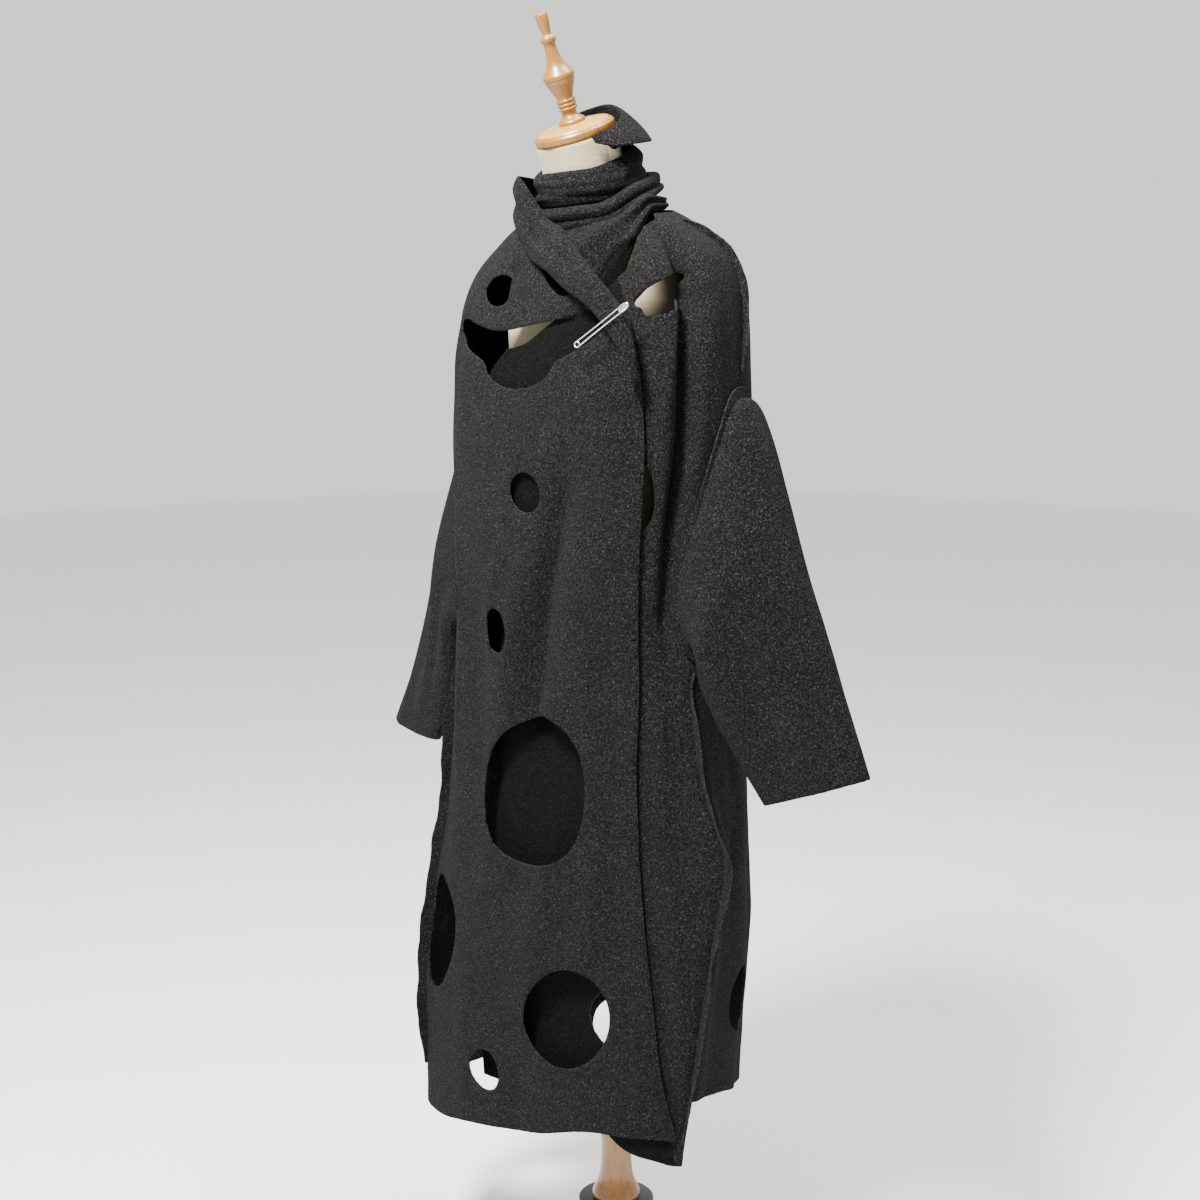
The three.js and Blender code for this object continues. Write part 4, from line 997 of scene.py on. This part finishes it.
def polished_steel():
    """Polished steel wire: bright, with the faint drawing marks along it breaking its highlights."""
    material, tree = new_material("polished_steel")
    if tree is None:
        return material
    place = add(tree, "ShaderNodeTexCoord").outputs["Object"]
    marks = add(tree, "ShaderNodeTexNoise", inputs={"Vector": place, "Scale": per_metre(1.5), "Detail": 3.0})
    gloss = set_ramp(add(tree, "ShaderNodeValToRGB", inputs={"Fac": marks.outputs[0]}),
                     (0.3, grey(0.14)), (0.7, grey(0.3)))
    shader = add(tree, "ShaderNodeBsdfPrincipled", inputs={
        "Base Color": rgba(linear("#d6d7d8")), "Metallic": 1.0, "Roughness": gloss.outputs[0]})
    add(tree, "ShaderNodeOutputMaterial", inputs={"Surface": shader.outputs[0]})
    return material


def painted_metal(stand):
    """Bronze-black paint on metal: satin, with slight orange peel and wear."""
    material, tree = new_material("painted_metal")
    if tree is None:
        return material
    place = add(tree, "ShaderNodeTexCoord").outputs["Object"]
    peel = add(tree, "ShaderNodeTexNoise", inputs={"Vector": place, "Scale": per_metre(2.5), "Detail": 2.0})
    cloud = add(tree, "ShaderNodeTexNoise", inputs={"Vector": place, "Scale": per_metre(40), "Detail": 4.0})
    colour = set_ramp(add(tree, "ShaderNodeValToRGB", inputs={"Fac": cloud.outputs[0]}),
                      (0.35, tuple(c * 0.8 for c in stand.metal)),
                      (0.7, tuple(c * 1.25 for c in stand.metal)))
    gloss = set_ramp(add(tree, "ShaderNodeValToRGB", inputs={"Fac": cloud.outputs[0]}),
                     (0.3, grey(0.32)), (0.7, grey(0.5)))
    bump = add(tree, "ShaderNodeBump", inputs={
        "Strength": 0.1, "Distance": 0.0003, "Height": peel.outputs[0]})
    shader = add(tree, "ShaderNodeBsdfPrincipled", inputs={
        "Base Color": colour.outputs[0], "Roughness": gloss.outputs[0], "Normal": bump.outputs[0],
        "IOR": 1.5})
    add(tree, "ShaderNodeOutputMaterial", inputs={"Surface": shader.outputs[0]})
    return material


def wool_set(cloth):
    """The cloth, its raw edge lightened as a painted highlight, and the darker wool that stands for deep
    shade.
    """
    return [boiled_wool("boiled_wool", cloth), boiled_wool("boiled_wool_edge_highlight", cloth, lift=0.26),
            boiled_wool("boiled_wool_painted_shade", cloth, depth=0.3)]


# Operators: one for each piece or group of like pieces

class COAT_OT_fronts(bpy.types.Operator):
    """Make the two fronts with their cut-outs and raised seam allowances"""

    bl_idname = "coat.fronts"
    bl_label = "Fronts"

    def execute(self, context):
        cloth = settings_of(context)[0]
        right_edge = short(lambda fall: right_seam(fall, -1), 1)
        left_edge = short(lambda fall: left_seam(fall, -1), -1)
        lap = lambda fall: LAP_EDGE.read("angle", fall)
        right = joined([
            panel_cloth("right", [(right_edge, 0), (fixed(213), 26), (lap, 86)], RIGHT_TOP, RIGHT_HEM, cloth),
            *allowances("right", right_edge, 1, cloth),
        ])
        # What the left front has under the lap takes the darker wool: painted shade for the shadow under the
        # lap.
        left = joined([
            panel_cloth("left", [
                (lambda fall: UNDER_EDGE.read("angle", fall), 0), (lambda fall: lap(fall) - 6, 56),
                (lambda fall: np.minimum(331, left_edge(fall) - 6), 22), (left_edge, 22),
            ], LEFT_TOP, LEFT_HEM, cloth, lambda angle, fall: angle < lap(fall) - 1),
            *allowances("left", left_edge, -1, cloth),
        ])
        for side, (points, faces, kinds), flat, area in (
            ("right", right, (0.48, 1.24), 0.45), ("left", left, (0.46, 1.24), 0.42),
        ):
            piece = make_object(f"front_{side}_cloth", points, faces, wool_set(cloth), kinds,
                                f"coat_front_{side}")
        return {"FINISHED"}


class COAT_OT_back(bpy.types.Operator):
    """Make the back with its cut-outs"""

    bl_idname = "coat.back"
    bl_label = "Back"

    def execute(self, context):
        cloth = settings_of(context)[0]
        left_edge = short(lambda fall: left_seam(fall, 1), 1)
        right_edge = short(lambda fall: right_seam(fall, 1), -1)
        points, faces, kinds = panel_cloth("back", [
            (lambda fall: left_edge(fall) - 360, 0), (fixed(27), 26), (fixed(153), 100), (right_edge, 26),
        ], BACK_TOP, BACK_HEM, cloth)
        piece = make_object("back_cloth", points, faces, wool_set(cloth), kinds, "coat_back")
        return {"FINISHED"}


class COAT_OT_sleeves(bpy.types.Operator):
    """Make the two wide sleeves, each with its raised armhole seam"""

    bl_idname = "coat.sleeves"
    bl_label = "Sleeves"

    def head(self, turn, grow, lift, mirrored, creases):
        squared = lambda value: np.sign(value) * np.abs(value) ** (2 / ARMHOLE["square"])
        down = -squared(np.cos(turn))
        fall = ARMHOLE["fall"] + ARMHOLE["drop"] * grow * down
        angle = ARMHOLE["angle"] - ARMHOLE["lean"] * down - ARMHOLE["reach"] * grow * squared(np.sin(turn))
        side = 540 - angle if mirrored else angle
        return body_point(side, fall, True, creases) + plain_normal(side, fall) * lift[..., None]

    def tube(self, rows, turn, at, mirrored):
        read = lambda column: rows.read(column, at)
        under = np.stack([read("underX"), read("underY"), read("underZ")], axis=-1)
        outer = np.stack([read("outerX"), read("outerY"), read("outerZ")], axis=-1)
        half = (outer - under) / 2
        flat = unit(np.cross(np.array([-1 if mirrored else 1, 0.25, -1]), half))
        flat = np.where(flat[..., 1:2] > 0, -flat, flat)
        full = (read("full") / 2 * np.sin(turn))[..., None]
        return under + half * (1 + np.cos(turn)[..., None]) + flat * full

    def points(self, rows, mirrored, settings):
        seam_rows, rows_below, columns = 7, 105, 168
        seam_steps = np.linspace(0, SEAM_SHARE, seam_rows)[:-1]
        t = np.concatenate([seam_steps, np.linspace(SEAM_SHARE, 1, rows_below)])
        s = np.arange(columns) / columns
        t, s = np.meshgrid(t, s, indexing="ij")
        turn = (1 if mirrored else -1) * s * 2 * math.pi
        seam = t / SEAM_SHARE
        flange = self.head(turn, SEAM_GROW + (HEAD_GROW - SEAM_GROW) * seam, ARMHOLE_LIFT + SEAM_RISE * seam,
                           mirrored, settings.creases)
        at = np.clip((t - SEAM_SHARE) / (1 - SEAM_SHARE), 0, 1)
        lift = ARMHOLE_LIFT + SEAM_RISE + HEAD_LIFT * np.minimum(1, at / SLEEVE_HEAD)
        root = self.head(turn, HEAD_GROW, lift, mirrored, settings.creases)
        leave = smooth(at / SLEEVE_HEAD)[..., None]
        grid = np.where((t < SEAM_SHARE)[..., None], flange,
                        root + (self.tube(rows, turn, at, mirrored) - root) * leave)
        faces = grid_quads(*grid.shape[:2], True)
        flat = grid.reshape(-1, 3)
        normals = point_normals(flat, faces)
        height = wave(flat, settings.undulation / METRE)
        for crease in SLEEVE_CREASES.each():
            share = np.clip((at - crease["at"]) / (crease["toAt"] - crease["at"]), 0, 1)
            crest = crease["turn"] + (crease["toTurn"] - crease["turn"]) * share
            aside = turn_between(s * 360, crest)
            inside = np.clip(at, crease["at"], crease["toAt"])
            amount = np.exp(-((aside / crease["width"]) ** 2) - ((at - inside) / 0.09) ** 2)
            amount = amount * smooth(at / 0.15)
            height += (crease["depth"] * settings.creases * amount).ravel()
        return flat + normals * height[:, None], faces

    def execute(self, context):
        cloth = settings_of(context)[0]
        for name, rows, mirrored in (("left", LEFT_SLEEVE, False), ("right", RIGHT_SLEEVE, True)):
            points, faces = self.points(rows, mirrored, cloth)
            points, faces, kinds = thicken(points, faces, cloth.thickness / METRE)
            piece = make_object(f"sleeve_{name}_cloth", points, faces, wool_set(cloth), kinds,
                                f"sleeve_{name}")
        return {"FINISHED"}


class COAT_OT_scarf(bpy.types.Operator):
    """Make the scarf collar: its turns round the neck, the folded flap and the crossing end"""

    bl_idname = "coat.scarf"
    bl_label = "Scarf collar"

    def around(self, rows, angle, t, leg=None):
        """Points of a stretch round the leaning neck."""
        read = lambda column: rows.read(column, angle)
        folded = leg is not None
        over = np.maximum(0, 2 * t - 1) if folded else t
        drop = np.maximum(0, 1 - 2 * t) * leg if folded else 0
        radius = read("topR") + (read("lowR") - read("topR")) * over + read("swell") * 4 * over * (1 - over)
        z = read("topZ") + (read("lowZ") - read("topZ")) * over - drop
        y = NECK_BASE[0] + (z - NECK_BASE[1]) * NECK_LEAN
        turn = np.radians(angle)
        return np.stack([radius * np.cos(turn), y + radius * np.sin(turn), z], axis=-1)

    def rolls(self, s, t, strength):
        """Height of the soft rolls, and how the long edges curl in."""
        height = -2.2 * (np.exp(-((t / 0.07) ** 2)) + np.exp(-(((1 - t) / 0.07) ** 2)))
        for roll in SCARF_ROLLS.each():
            share = np.clip((s - roll["along"]) / (roll["toAlong"] - roll["along"]), 0, 1)
            crest = roll["across"] + (roll["toAcross"] - roll["across"]) * share
            inside = np.clip(s, roll["along"], roll["toAlong"])
            fade = np.exp(-(((s - inside) / 0.06) ** 2))
            height += roll["height"] * np.exp(-(((t - crest) / roll["width"]) ** 2)) * fade * strength
        return height

    def dip(self, angle, t):
        """Where the low turn dips in, 0 to 1: behind the left front's neck edge and under the band.

        The darker wool there stands for the deep shade in the two openings."""
        behind_neck = smooth((t - 0.5 - 0.36 * smooth((angle - 322) / 16)) / 0.1)
        start, end = NECK_OPENING
        behind_neck = behind_neck * smooth((angle - start) / 5) * smooth((end - angle) / 5)
        start, end = BAND_OPENING
        under_band = smooth((t - 0.25) / 0.1) * smooth((angle - start) / 6) * smooth((end - angle) / 4)
        return np.maximum(behind_neck, under_band)

    def cloth_piece(self, name, grid, wraps, height, node, settings, flat, rests_on, shaded=None):
        faces = grid_quads(*grid.shape[:2], wraps)
        points = grid.reshape(-1, 3)
        normals = point_normals(points, faces)
        lean = np.array([0, NECK_LEAN, 1]) * (points[:, 2:] - NECK_BASE[1])
        away = points - np.array([0, NECK_BASE[0], 0]) - lean
        away[:, 2] = 0
        sign = np.where((normals * away).sum(axis=1) < 0, -1, 1)
        total = height.ravel() + wave(points, settings.undulation / METRE * 0.8)
        points = points + normals * (total * sign)[:, None]
        points, faces, kinds = thicken(points, faces, settings.thickness / METRE, shaded)
        piece = make_object(name, points, faces, wool_set(settings), kinds, node)

    def execute(self, context):
        cloth = settings_of(context)[0]
        for name, rows, steps, flat, shift in (
            ("top", SCARF_TOP, 36, (0.055, 0.46), 0.0), ("middle", SCARF_MIDDLE, 28, (0.042, 0.51), 0.3),
            ("low", SCARF_LOW, 36, (0.055, 0.60), 0.6),
        ):
            looped = Table(SCARF_COLUMNS, [(r[0] - 360, *r[1:]) for r in rows.rows[-2:]] + rows.rows
                           + [(r[0] + 360, *r[1:]) for r in rows.rows[:2]])
            t, s = np.meshgrid(np.linspace(0, 1, steps + 1), np.arange(216) / 216, indexing="ij")
            grid = self.around(looped, s * 360, t)
            height = self.rolls((s + shift) % 1, t, 1.05 * cloth.creases)
            shaded = None
            if name == "low":
                dip = self.dip(s * 360, t)
                height -= DIP_DEPTH * dip
                # Where the turn dips in deepest it takes the darker wool, painted shade for the shadow in the
                # openings.
                shaded = (dip > 0.3).ravel()
            self.cloth_piece(f"scarf_{name}_turn", grid, True, height, f"scarf_wrap_{name}", cloth, flat,
                             ["form_cover"], shaded)
        t, s = np.meshgrid(np.linspace(0, 1, 37), np.linspace(0, 1, 97), indexing="ij")
        first, last = SCARF_FLAP.rows[0][0], SCARF_FLAP.rows[-1][0]
        grid = self.around(SCARF_FLAP, first + (last - first) * s, t, FLAP_LEG * smooth(s * 6))
        for _ in range(6):
            grid[1:-1] = (grid[:-2] + 2 * grid[1:-1] + grid[2:]) / 4
        self.cloth_piece("scarf_collar_fold", grid, False, 0 * s, "scarf_collar_flap", cloth, (0.07, 0.26),
                         ["scarf_top_turn"])
        at = np.linspace(0, 12, 181)
        t, s = np.meshgrid(np.linspace(0, 1, 25), at / 12, indexing="ij")
        read = lambda column: SCARF_END.read(column, s * 12)
        top = np.stack([read("topX"), read("topY"), read("topZ")], axis=-1)
        low = np.stack([read("lowX"), read("lowY"), read("lowZ")], axis=-1)
        out = np.array(END_OUT) / np.linalg.norm(END_OUT)
        swell = read("swell") * 4 * t * (1 - t) * smooth(s * 3)
        grid = top + (low - top) * t[..., None] + out * swell[..., None]
        self.cloth_piece("scarf_crossing_cloth", grid, False, self.rolls(s, t, 0.8 * cloth.creases),
                         "scarf_crossing_end", cloth, (0.06, 0.5), ["scarf_low_turn", "front_right_cloth"])
        return {"FINISHED"}


def tube_along(path, radius, sides=12):
    """Points and faces of a round tube along a path, closed at both ends."""
    path = np.asarray(path, float)
    ahead = np.roll(path, -1, axis=0) - np.roll(path, 1, axis=0)
    ahead[0], ahead[-1] = path[1] - path[0], path[-1] - path[-2]
    ahead = unit(ahead)
    side = unit(np.cross(ahead, np.array([0.25, -1.0, 0.1])))
    up = np.cross(side, ahead)
    turn = np.arange(sides) * 2 * math.pi / sides
    ring = np.cos(turn)[None, :, None] * side[:, None] + np.sin(turn)[None, :, None] * up[:, None]
    points = (path[:, None] + ring * radius).reshape(-1, 3)
    return points, tube_faces(len(path), sides)


class COAT_OT_pin(bpy.types.Operator):
    """Make the kilt pin: a bent wire with a coil at one end and a clasp at the other"""

    bl_idname = "coat.pin"
    bl_label = "Kilt pin"

    def execute(self, context):
        start, end = np.array(PIN_FROM, float), np.array(PIN_TO, float)
        length = np.linalg.norm(end - start)
        axis = (end - start) / length
        aside = unit(np.cross(axis, np.array([0.25, -1.0, 0.0])))
        out = np.cross(axis, aside)
        place = lambda along, across, lift=0.0: start + axis * along + aside * across + out * lift
        turns = np.linspace(0, 2 * math.pi * COIL_TURNS, 40)
        coil = [
            place(
                COIL_AT + PIN_HALF_GAP * math.cos(a + math.pi / 2),
                PIN_HALF_GAP * math.sin(a + math.pi / 2),
                COIL_RISE * (a / turns[-1] - 0.5),
            )
            for a in turns
        ]
        run = np.linspace(6, length - 5, 24)
        back, point = (
            [place(x, side * (PIN_HALF_GAP - PIN_BOW * math.sin(x / length * math.pi))) for x in run]
            for side in (1, -1)
        )
        parts = []
        for path, radius in ((coil, COIL_WIRE), (back, BACK_WIRE), (point, POINT_WIRE)):
            points, faces = tube_along(path, radius)
            parts.append((points, faces, [0] * len(faces)))
        # The clasp is a pressed cap: an oval shell with a rolled rim.
        rows, columns = CLASP_STEPS
        v = np.arange(columns) * 2 * math.pi / columns
        u, v = np.meshgrid(np.linspace(0.02, math.pi - 0.02, rows), v, indexing="ij")
        square = np.sin(u) ** 0.8
        long, wide, deep = CLASP_SIZE
        grid = np.stack([np.cos(u) * long, square * np.cos(v) * wide, square * np.sin(v) * deep], axis=-1)
        grid[..., 1] *= 1 - 0.12 * np.cos(u)
        grid[..., 2] += 0.5 * np.exp(-(((grid[..., 0] + 5.5) / 0.8) ** 2)) * np.sign(grid[..., 2])
        cap = place(length - CLASP_AT, 0) + grid @ np.stack([axis, aside, out])
        faces = tube_faces(rows, columns)
        parts.append((cap.reshape(-1, 3), faces, [0] * len(faces)))
        points, faces, kinds = joined(parts)
        make_object("kilt_pin_wire", points, faces, [polished_steel()], kinds, "kilt_pin")
        return {"FINISHED"}


class COAT_OT_form(bpy.types.Operator):
    """Make the form's linen cover with its seams"""

    bl_idname = "coat.form"
    bl_label = "Form"

    def execute(self, context):
        stand = settings_of(context)[1]
        steps = 120
        z = np.concatenate([np.linspace(802, 812, 8)[:-1], np.linspace(812, 1560, 190)])
        z, turn = np.meshgrid(z, np.arange(steps) * 2 * math.pi / steps, indexing="ij")
        cos, sin = np.cos(turn), np.sin(turn)
        square = (np.abs(cos) ** TORSO_CORNER + np.abs(sin) ** TORSO_CORNER) ** (-1 / TORSO_CORNER)
        # A shallow groove marks each seam of the cover.
        groove = sum(np.exp(-((turn_between(np.degrees(turn), at) / GROOVE_WIDTH) ** 2)) for at in FORM_SEAMS)
        width = TORSO.read("width", z) - GROOVE_DEPTH * groove
        depth = (TORSO.read("depth", z) - GROOVE_DEPTH * groove) * sin * square
        tilt = np.radians(TORSO.read("tilt", z))
        grid = np.stack([width * cos * square, TORSO.read("y", z) + depth * np.cos(tilt),
                         z + depth * np.sin(tilt)], axis=-1)
        faces = tube_faces(grid.shape[0], steps)
        make_object("form_cover", grid.reshape(-1, 3), faces, [woven_linen(stand)], 0, "form_torso")
        return {"FINISHED"}


def lathe(profile, rounded=True, steps=96):
    """Points and faces of a turned piece about +Z; rounded runs a curve through the profile's rows."""
    rows = np.array(profile, float)
    if rounded:
        inner = rows[1:-1]
        path = []
        for k in range(len(inner) - 1):
            a = inner[max(k - 1, 0)]
            b, c = inner[k], inner[k + 1]
            d = inner[min(k + 2, len(inner) - 1)]
            for t in np.linspace(0, 1, 6)[:-1]:
                path.append(0.5 * (2 * b + (c - a) * t + (2 * a - 5 * b + 4 * c - d) * t**2
                                   + (3 * b - a - 3 * c + d) * t**3))
        path.append(inner[-1])
        rows = np.array([rows[0], *path, rows[-1]])
    rim = rows[1:-1]
    turn = np.arange(steps) * 2 * math.pi / steps
    grid = np.stack([rim[:, :1] * np.cos(turn), rim[:, :1] * np.sin(turn), rim[:, 1:] + 0 * turn], axis=-1)
    count = len(rim)
    faces = [face[::-1] for face in grid_quads(count, steps, True)]
    points = np.concatenate([grid.reshape(-1, 3), [[0, 0, rows[0, 1]], [0, 0, rows[-1, 1]]]])
    low, high = count * steps, count * steps + 1
    faces += [(low, (k + 1) % steps, k) for k in range(steps)]
    last = (count - 1) * steps
    faces += [(high, last + k, last + (k + 1) % steps) for k in range(steps)]
    return points, faces


def round_edges(piece, width, sharper_than):
    """Rounds the edges that turn by more than this angle in degrees."""
    bevel = piece.modifiers.new("rounded_edge", "BEVEL")
    bevel.width = width
    bevel.segments = 2
    bevel.limit_method = "ANGLE"
    bevel.angle_limit = math.radians(sharper_than)


class COAT_OT_turnings(bpy.types.Operator):
    """Make the turned wood: neck cap, finial and pole column"""

    bl_idname = "coat.turnings"
    bl_label = "Turned wood"

    def execute(self, context):
        stand = settings_of(context)[1]
        neck = TORSO.rows[-1]
        tilt = math.radians(CAP_TILT)
        cap_height = CAP_PROFILE[-1][1]
        for name, profile, above, node in (
            ("neck_cap_turning", CAP_PROFILE, SEAT, "neck_cap"),
            ("finial_turning", FINIAL_PROFILE, cap_height + 2 * SEAT, "finial"),
        ):
            points, faces = lathe(profile, name != "neck_cap_turning")
            turned = np.array(Matrix.Rotation(tilt, 3, "X"))
            points = points @ turned.T
            points += np.array([0, neck[1] - above * math.sin(tilt), neck[0] + above * math.cos(tilt)])
            woods = [turned_beech(stand, "turned_beech_leaning", CAP_TILT),
                     turned_beech(stand, "turned_beech_pale_top", CAP_TILT, 1.9)]
            along = points @ turned[:, 2]
            top = along.max() - cap_height + CAP_RIM
            pale = [int(name == "neck_cap_turning" and min(along[v] for v in face) > top) for face in faces]
            piece = make_object(name, points, faces, woods, pale, node)
            round_edges(piece, 0.0005, 34)
        points, faces = lathe(COLUMN_PROFILE)
        wood = turned_beech(stand, "turned_beech", 0)
        piece = make_object("column_turning", points, faces, [wood], 0, "pole_column")
        round_edges(piece, 0.0005, 34)
        return {"FINISHED"}


class COAT_OT_stand(bpy.types.Operator):
    """Make the painted rod, flange, stem and base plate"""

    bl_idname = "coat.stand"
    bl_label = "Stand"

    def execute(self, context):
        paint = painted_metal(settings_of(context)[1])
        for name, profile, node in (
            ("rod_metal", ROD_PROFILE, "pole_rod"), ("flange_metal", FLANGE_PROFILE, "pole_flange"),
            ("stem_metal", STEM_PROFILE, "pole_stem"), ("base_metal", PLATE_PROFILE, "base_plate"),
        ):
            points, faces = lathe(profile, False)
            piece = make_object(name, points, faces, [paint], 0, node)
            round_edges(piece, 0.0006, 30)
        return {"FINISHED"}


class COAT_OT_stage(bpy.types.Operator):
    """Make the floor, the soft light and the camera"""

    bl_idname = "coat.stage"
    bl_label = "Stage"

    def light(self, name, place, target, size, power, colour):
        lamp = bpy.data.lights.new(name, "AREA")
        lamp.shape = "DISK"
        lamp.size = size
        lamp.energy = power
        lamp.color = colour
        item = bpy.data.objects.new(name, lamp)
        item.location = place
        item.rotation_mode = "QUATERNION"
        item.rotation_quaternion = (Vector(target) - Vector(place)).to_track_quat("-Z", "Y")
        bpy.context.scene.collection.objects.link(item)

    def execute(self, context):
        studio = settings_of(context)[2]
        mesh = bpy.data.meshes.new("floor")
        corners = [(x * FLOOR_REACH, y * FLOOR_REACH, 0) for x, y in ((-1, -1), (1, -1), (1, 1), (-1, 1))]
        mesh.from_pydata(corners, [], [(0, 1, 2, 3)])
        floor = bpy.data.objects.new("floor", mesh)
        floor.location.z = -FLOOR_DROP
        context.scene.collection.objects.link(floor)
        material, tree = new_material("painted_floor")
        place = add(tree, "ShaderNodeTexCoord").outputs["Object"]
        mottle = add(tree, "ShaderNodeTexNoise", inputs={"Vector": place, "Scale": 3.0, "Detail": 3.0})
        colour = set_ramp(add(tree, "ShaderNodeValToRGB", inputs={"Fac": mottle.outputs[0]}),
                          (0.3, tuple(c * 0.985 for c in studio.floor)), (0.7, tuple(studio.floor)))
        shader = add(tree, "ShaderNodeBsdfPrincipled", inputs={
            "Base Color": colour.outputs[0], "Roughness": 0.9})
        add(tree, "ShaderNodeOutputMaterial", inputs={"Surface": shader.outputs[0]})
        mesh.materials.append(material)

        world = bpy.data.worlds.new("studio")
        world.use_nodes = True
        world.node_tree.nodes.clear()
        sky = add(world.node_tree, "ShaderNodeBackground", inputs={
            "Color": rgba(linear(SKY)), "Strength": SKY_STRENGTH})
        add(world.node_tree, "ShaderNodeOutputWorld", inputs={"Surface": sky.outputs[0]})
        context.scene.world = world
        for name, place, target, size, share, colour in LIGHTS:
            self.light(name, place, target, size, studio.key * share, linear(colour))

        lens = bpy.data.cameras.new("camera")
        lens.sensor_width = SENSOR
        lens.lens = studio.lens
        lens.clip_start, lens.clip_end = 0.05, 100
        camera = bpy.data.objects.new("camera", lens)
        context.scene.collection.objects.link(camera)
        around, down, aside = studio.azimuth, studio.tilt, studio.pan
        eye = Vector((studio.distance * math.sin(around), -studio.distance * math.cos(around), studio.height))
        level = Vector((-math.sin(around), math.cos(around), 0))
        right = Vector((math.cos(around), math.sin(around), 0))
        ahead = level * math.cos(aside) - right * math.sin(aside)
        right = Vector((ahead.y, -ahead.x, 0))
        ahead = ahead * math.cos(down) - Vector((0, 0, math.sin(down)))
        up = right.cross(ahead)
        camera.matrix_world = Matrix((
            (right.x, up.x, -ahead.x, eye.x), (right.y, up.y, -ahead.y, eye.y),
            (right.z, up.z, -ahead.z, eye.z), (0, 0, 0, 1),
        ))
        context.scene.camera = camera
        return {"FINISHED"}


class COAT_PT_sidebar(bpy.types.Panel):
    """Lists the sizes, the colours and the steps"""

    bl_idname = "COAT_PT_sidebar"
    bl_label = "Wool wrap coat"
    bl_space_type = "VIEW_3D"
    bl_region_type = "UI"
    bl_category = "Coat"

    def draw(self, context):
        for settings in settings_of(context):
            box = self.layout.box()
            for name in settings.__annotations__:
                box.prop(settings, name)
        for step in STEPS:
            self.layout.operator(step.bl_idname)


SETTINGS = (
    (CoatSettings, "coat_cloth"),
    (StandSettings, "coat_stand"),
    (StudioSettings, "coat_studio"),
)
STEPS = (
    COAT_OT_form, COAT_OT_turnings, COAT_OT_stand, COAT_OT_fronts, COAT_OT_back, COAT_OT_sleeves,
    COAT_OT_scarf, COAT_OT_pin, COAT_OT_stage,
)


def register():
    for settings, name in SETTINGS:
        bpy.utils.register_class(settings)
        setattr(bpy.types.Scene, name, bpy.props.PointerProperty(type=settings))
    for item in (*STEPS, COAT_PT_sidebar):
        bpy.utils.register_class(item)


def unregister():
    for item in reversed((*STEPS, COAT_PT_sidebar)):
        bpy.utils.unregister_class(item)
    for settings, name in reversed(SETTINGS):
        delattr(bpy.types.Scene, name)
        bpy.utils.unregister_class(settings)


def main():
    register()
    bpy.ops.coat.form()
    bpy.ops.coat.turnings()
    bpy.ops.coat.stand()
    bpy.ops.coat.fronts()
    bpy.ops.coat.back()
    bpy.ops.coat.sleeves()
    bpy.ops.coat.scarf()
    bpy.ops.coat.pin()
    bpy.ops.coat.stage()


if __name__ == "__main__":
    main()
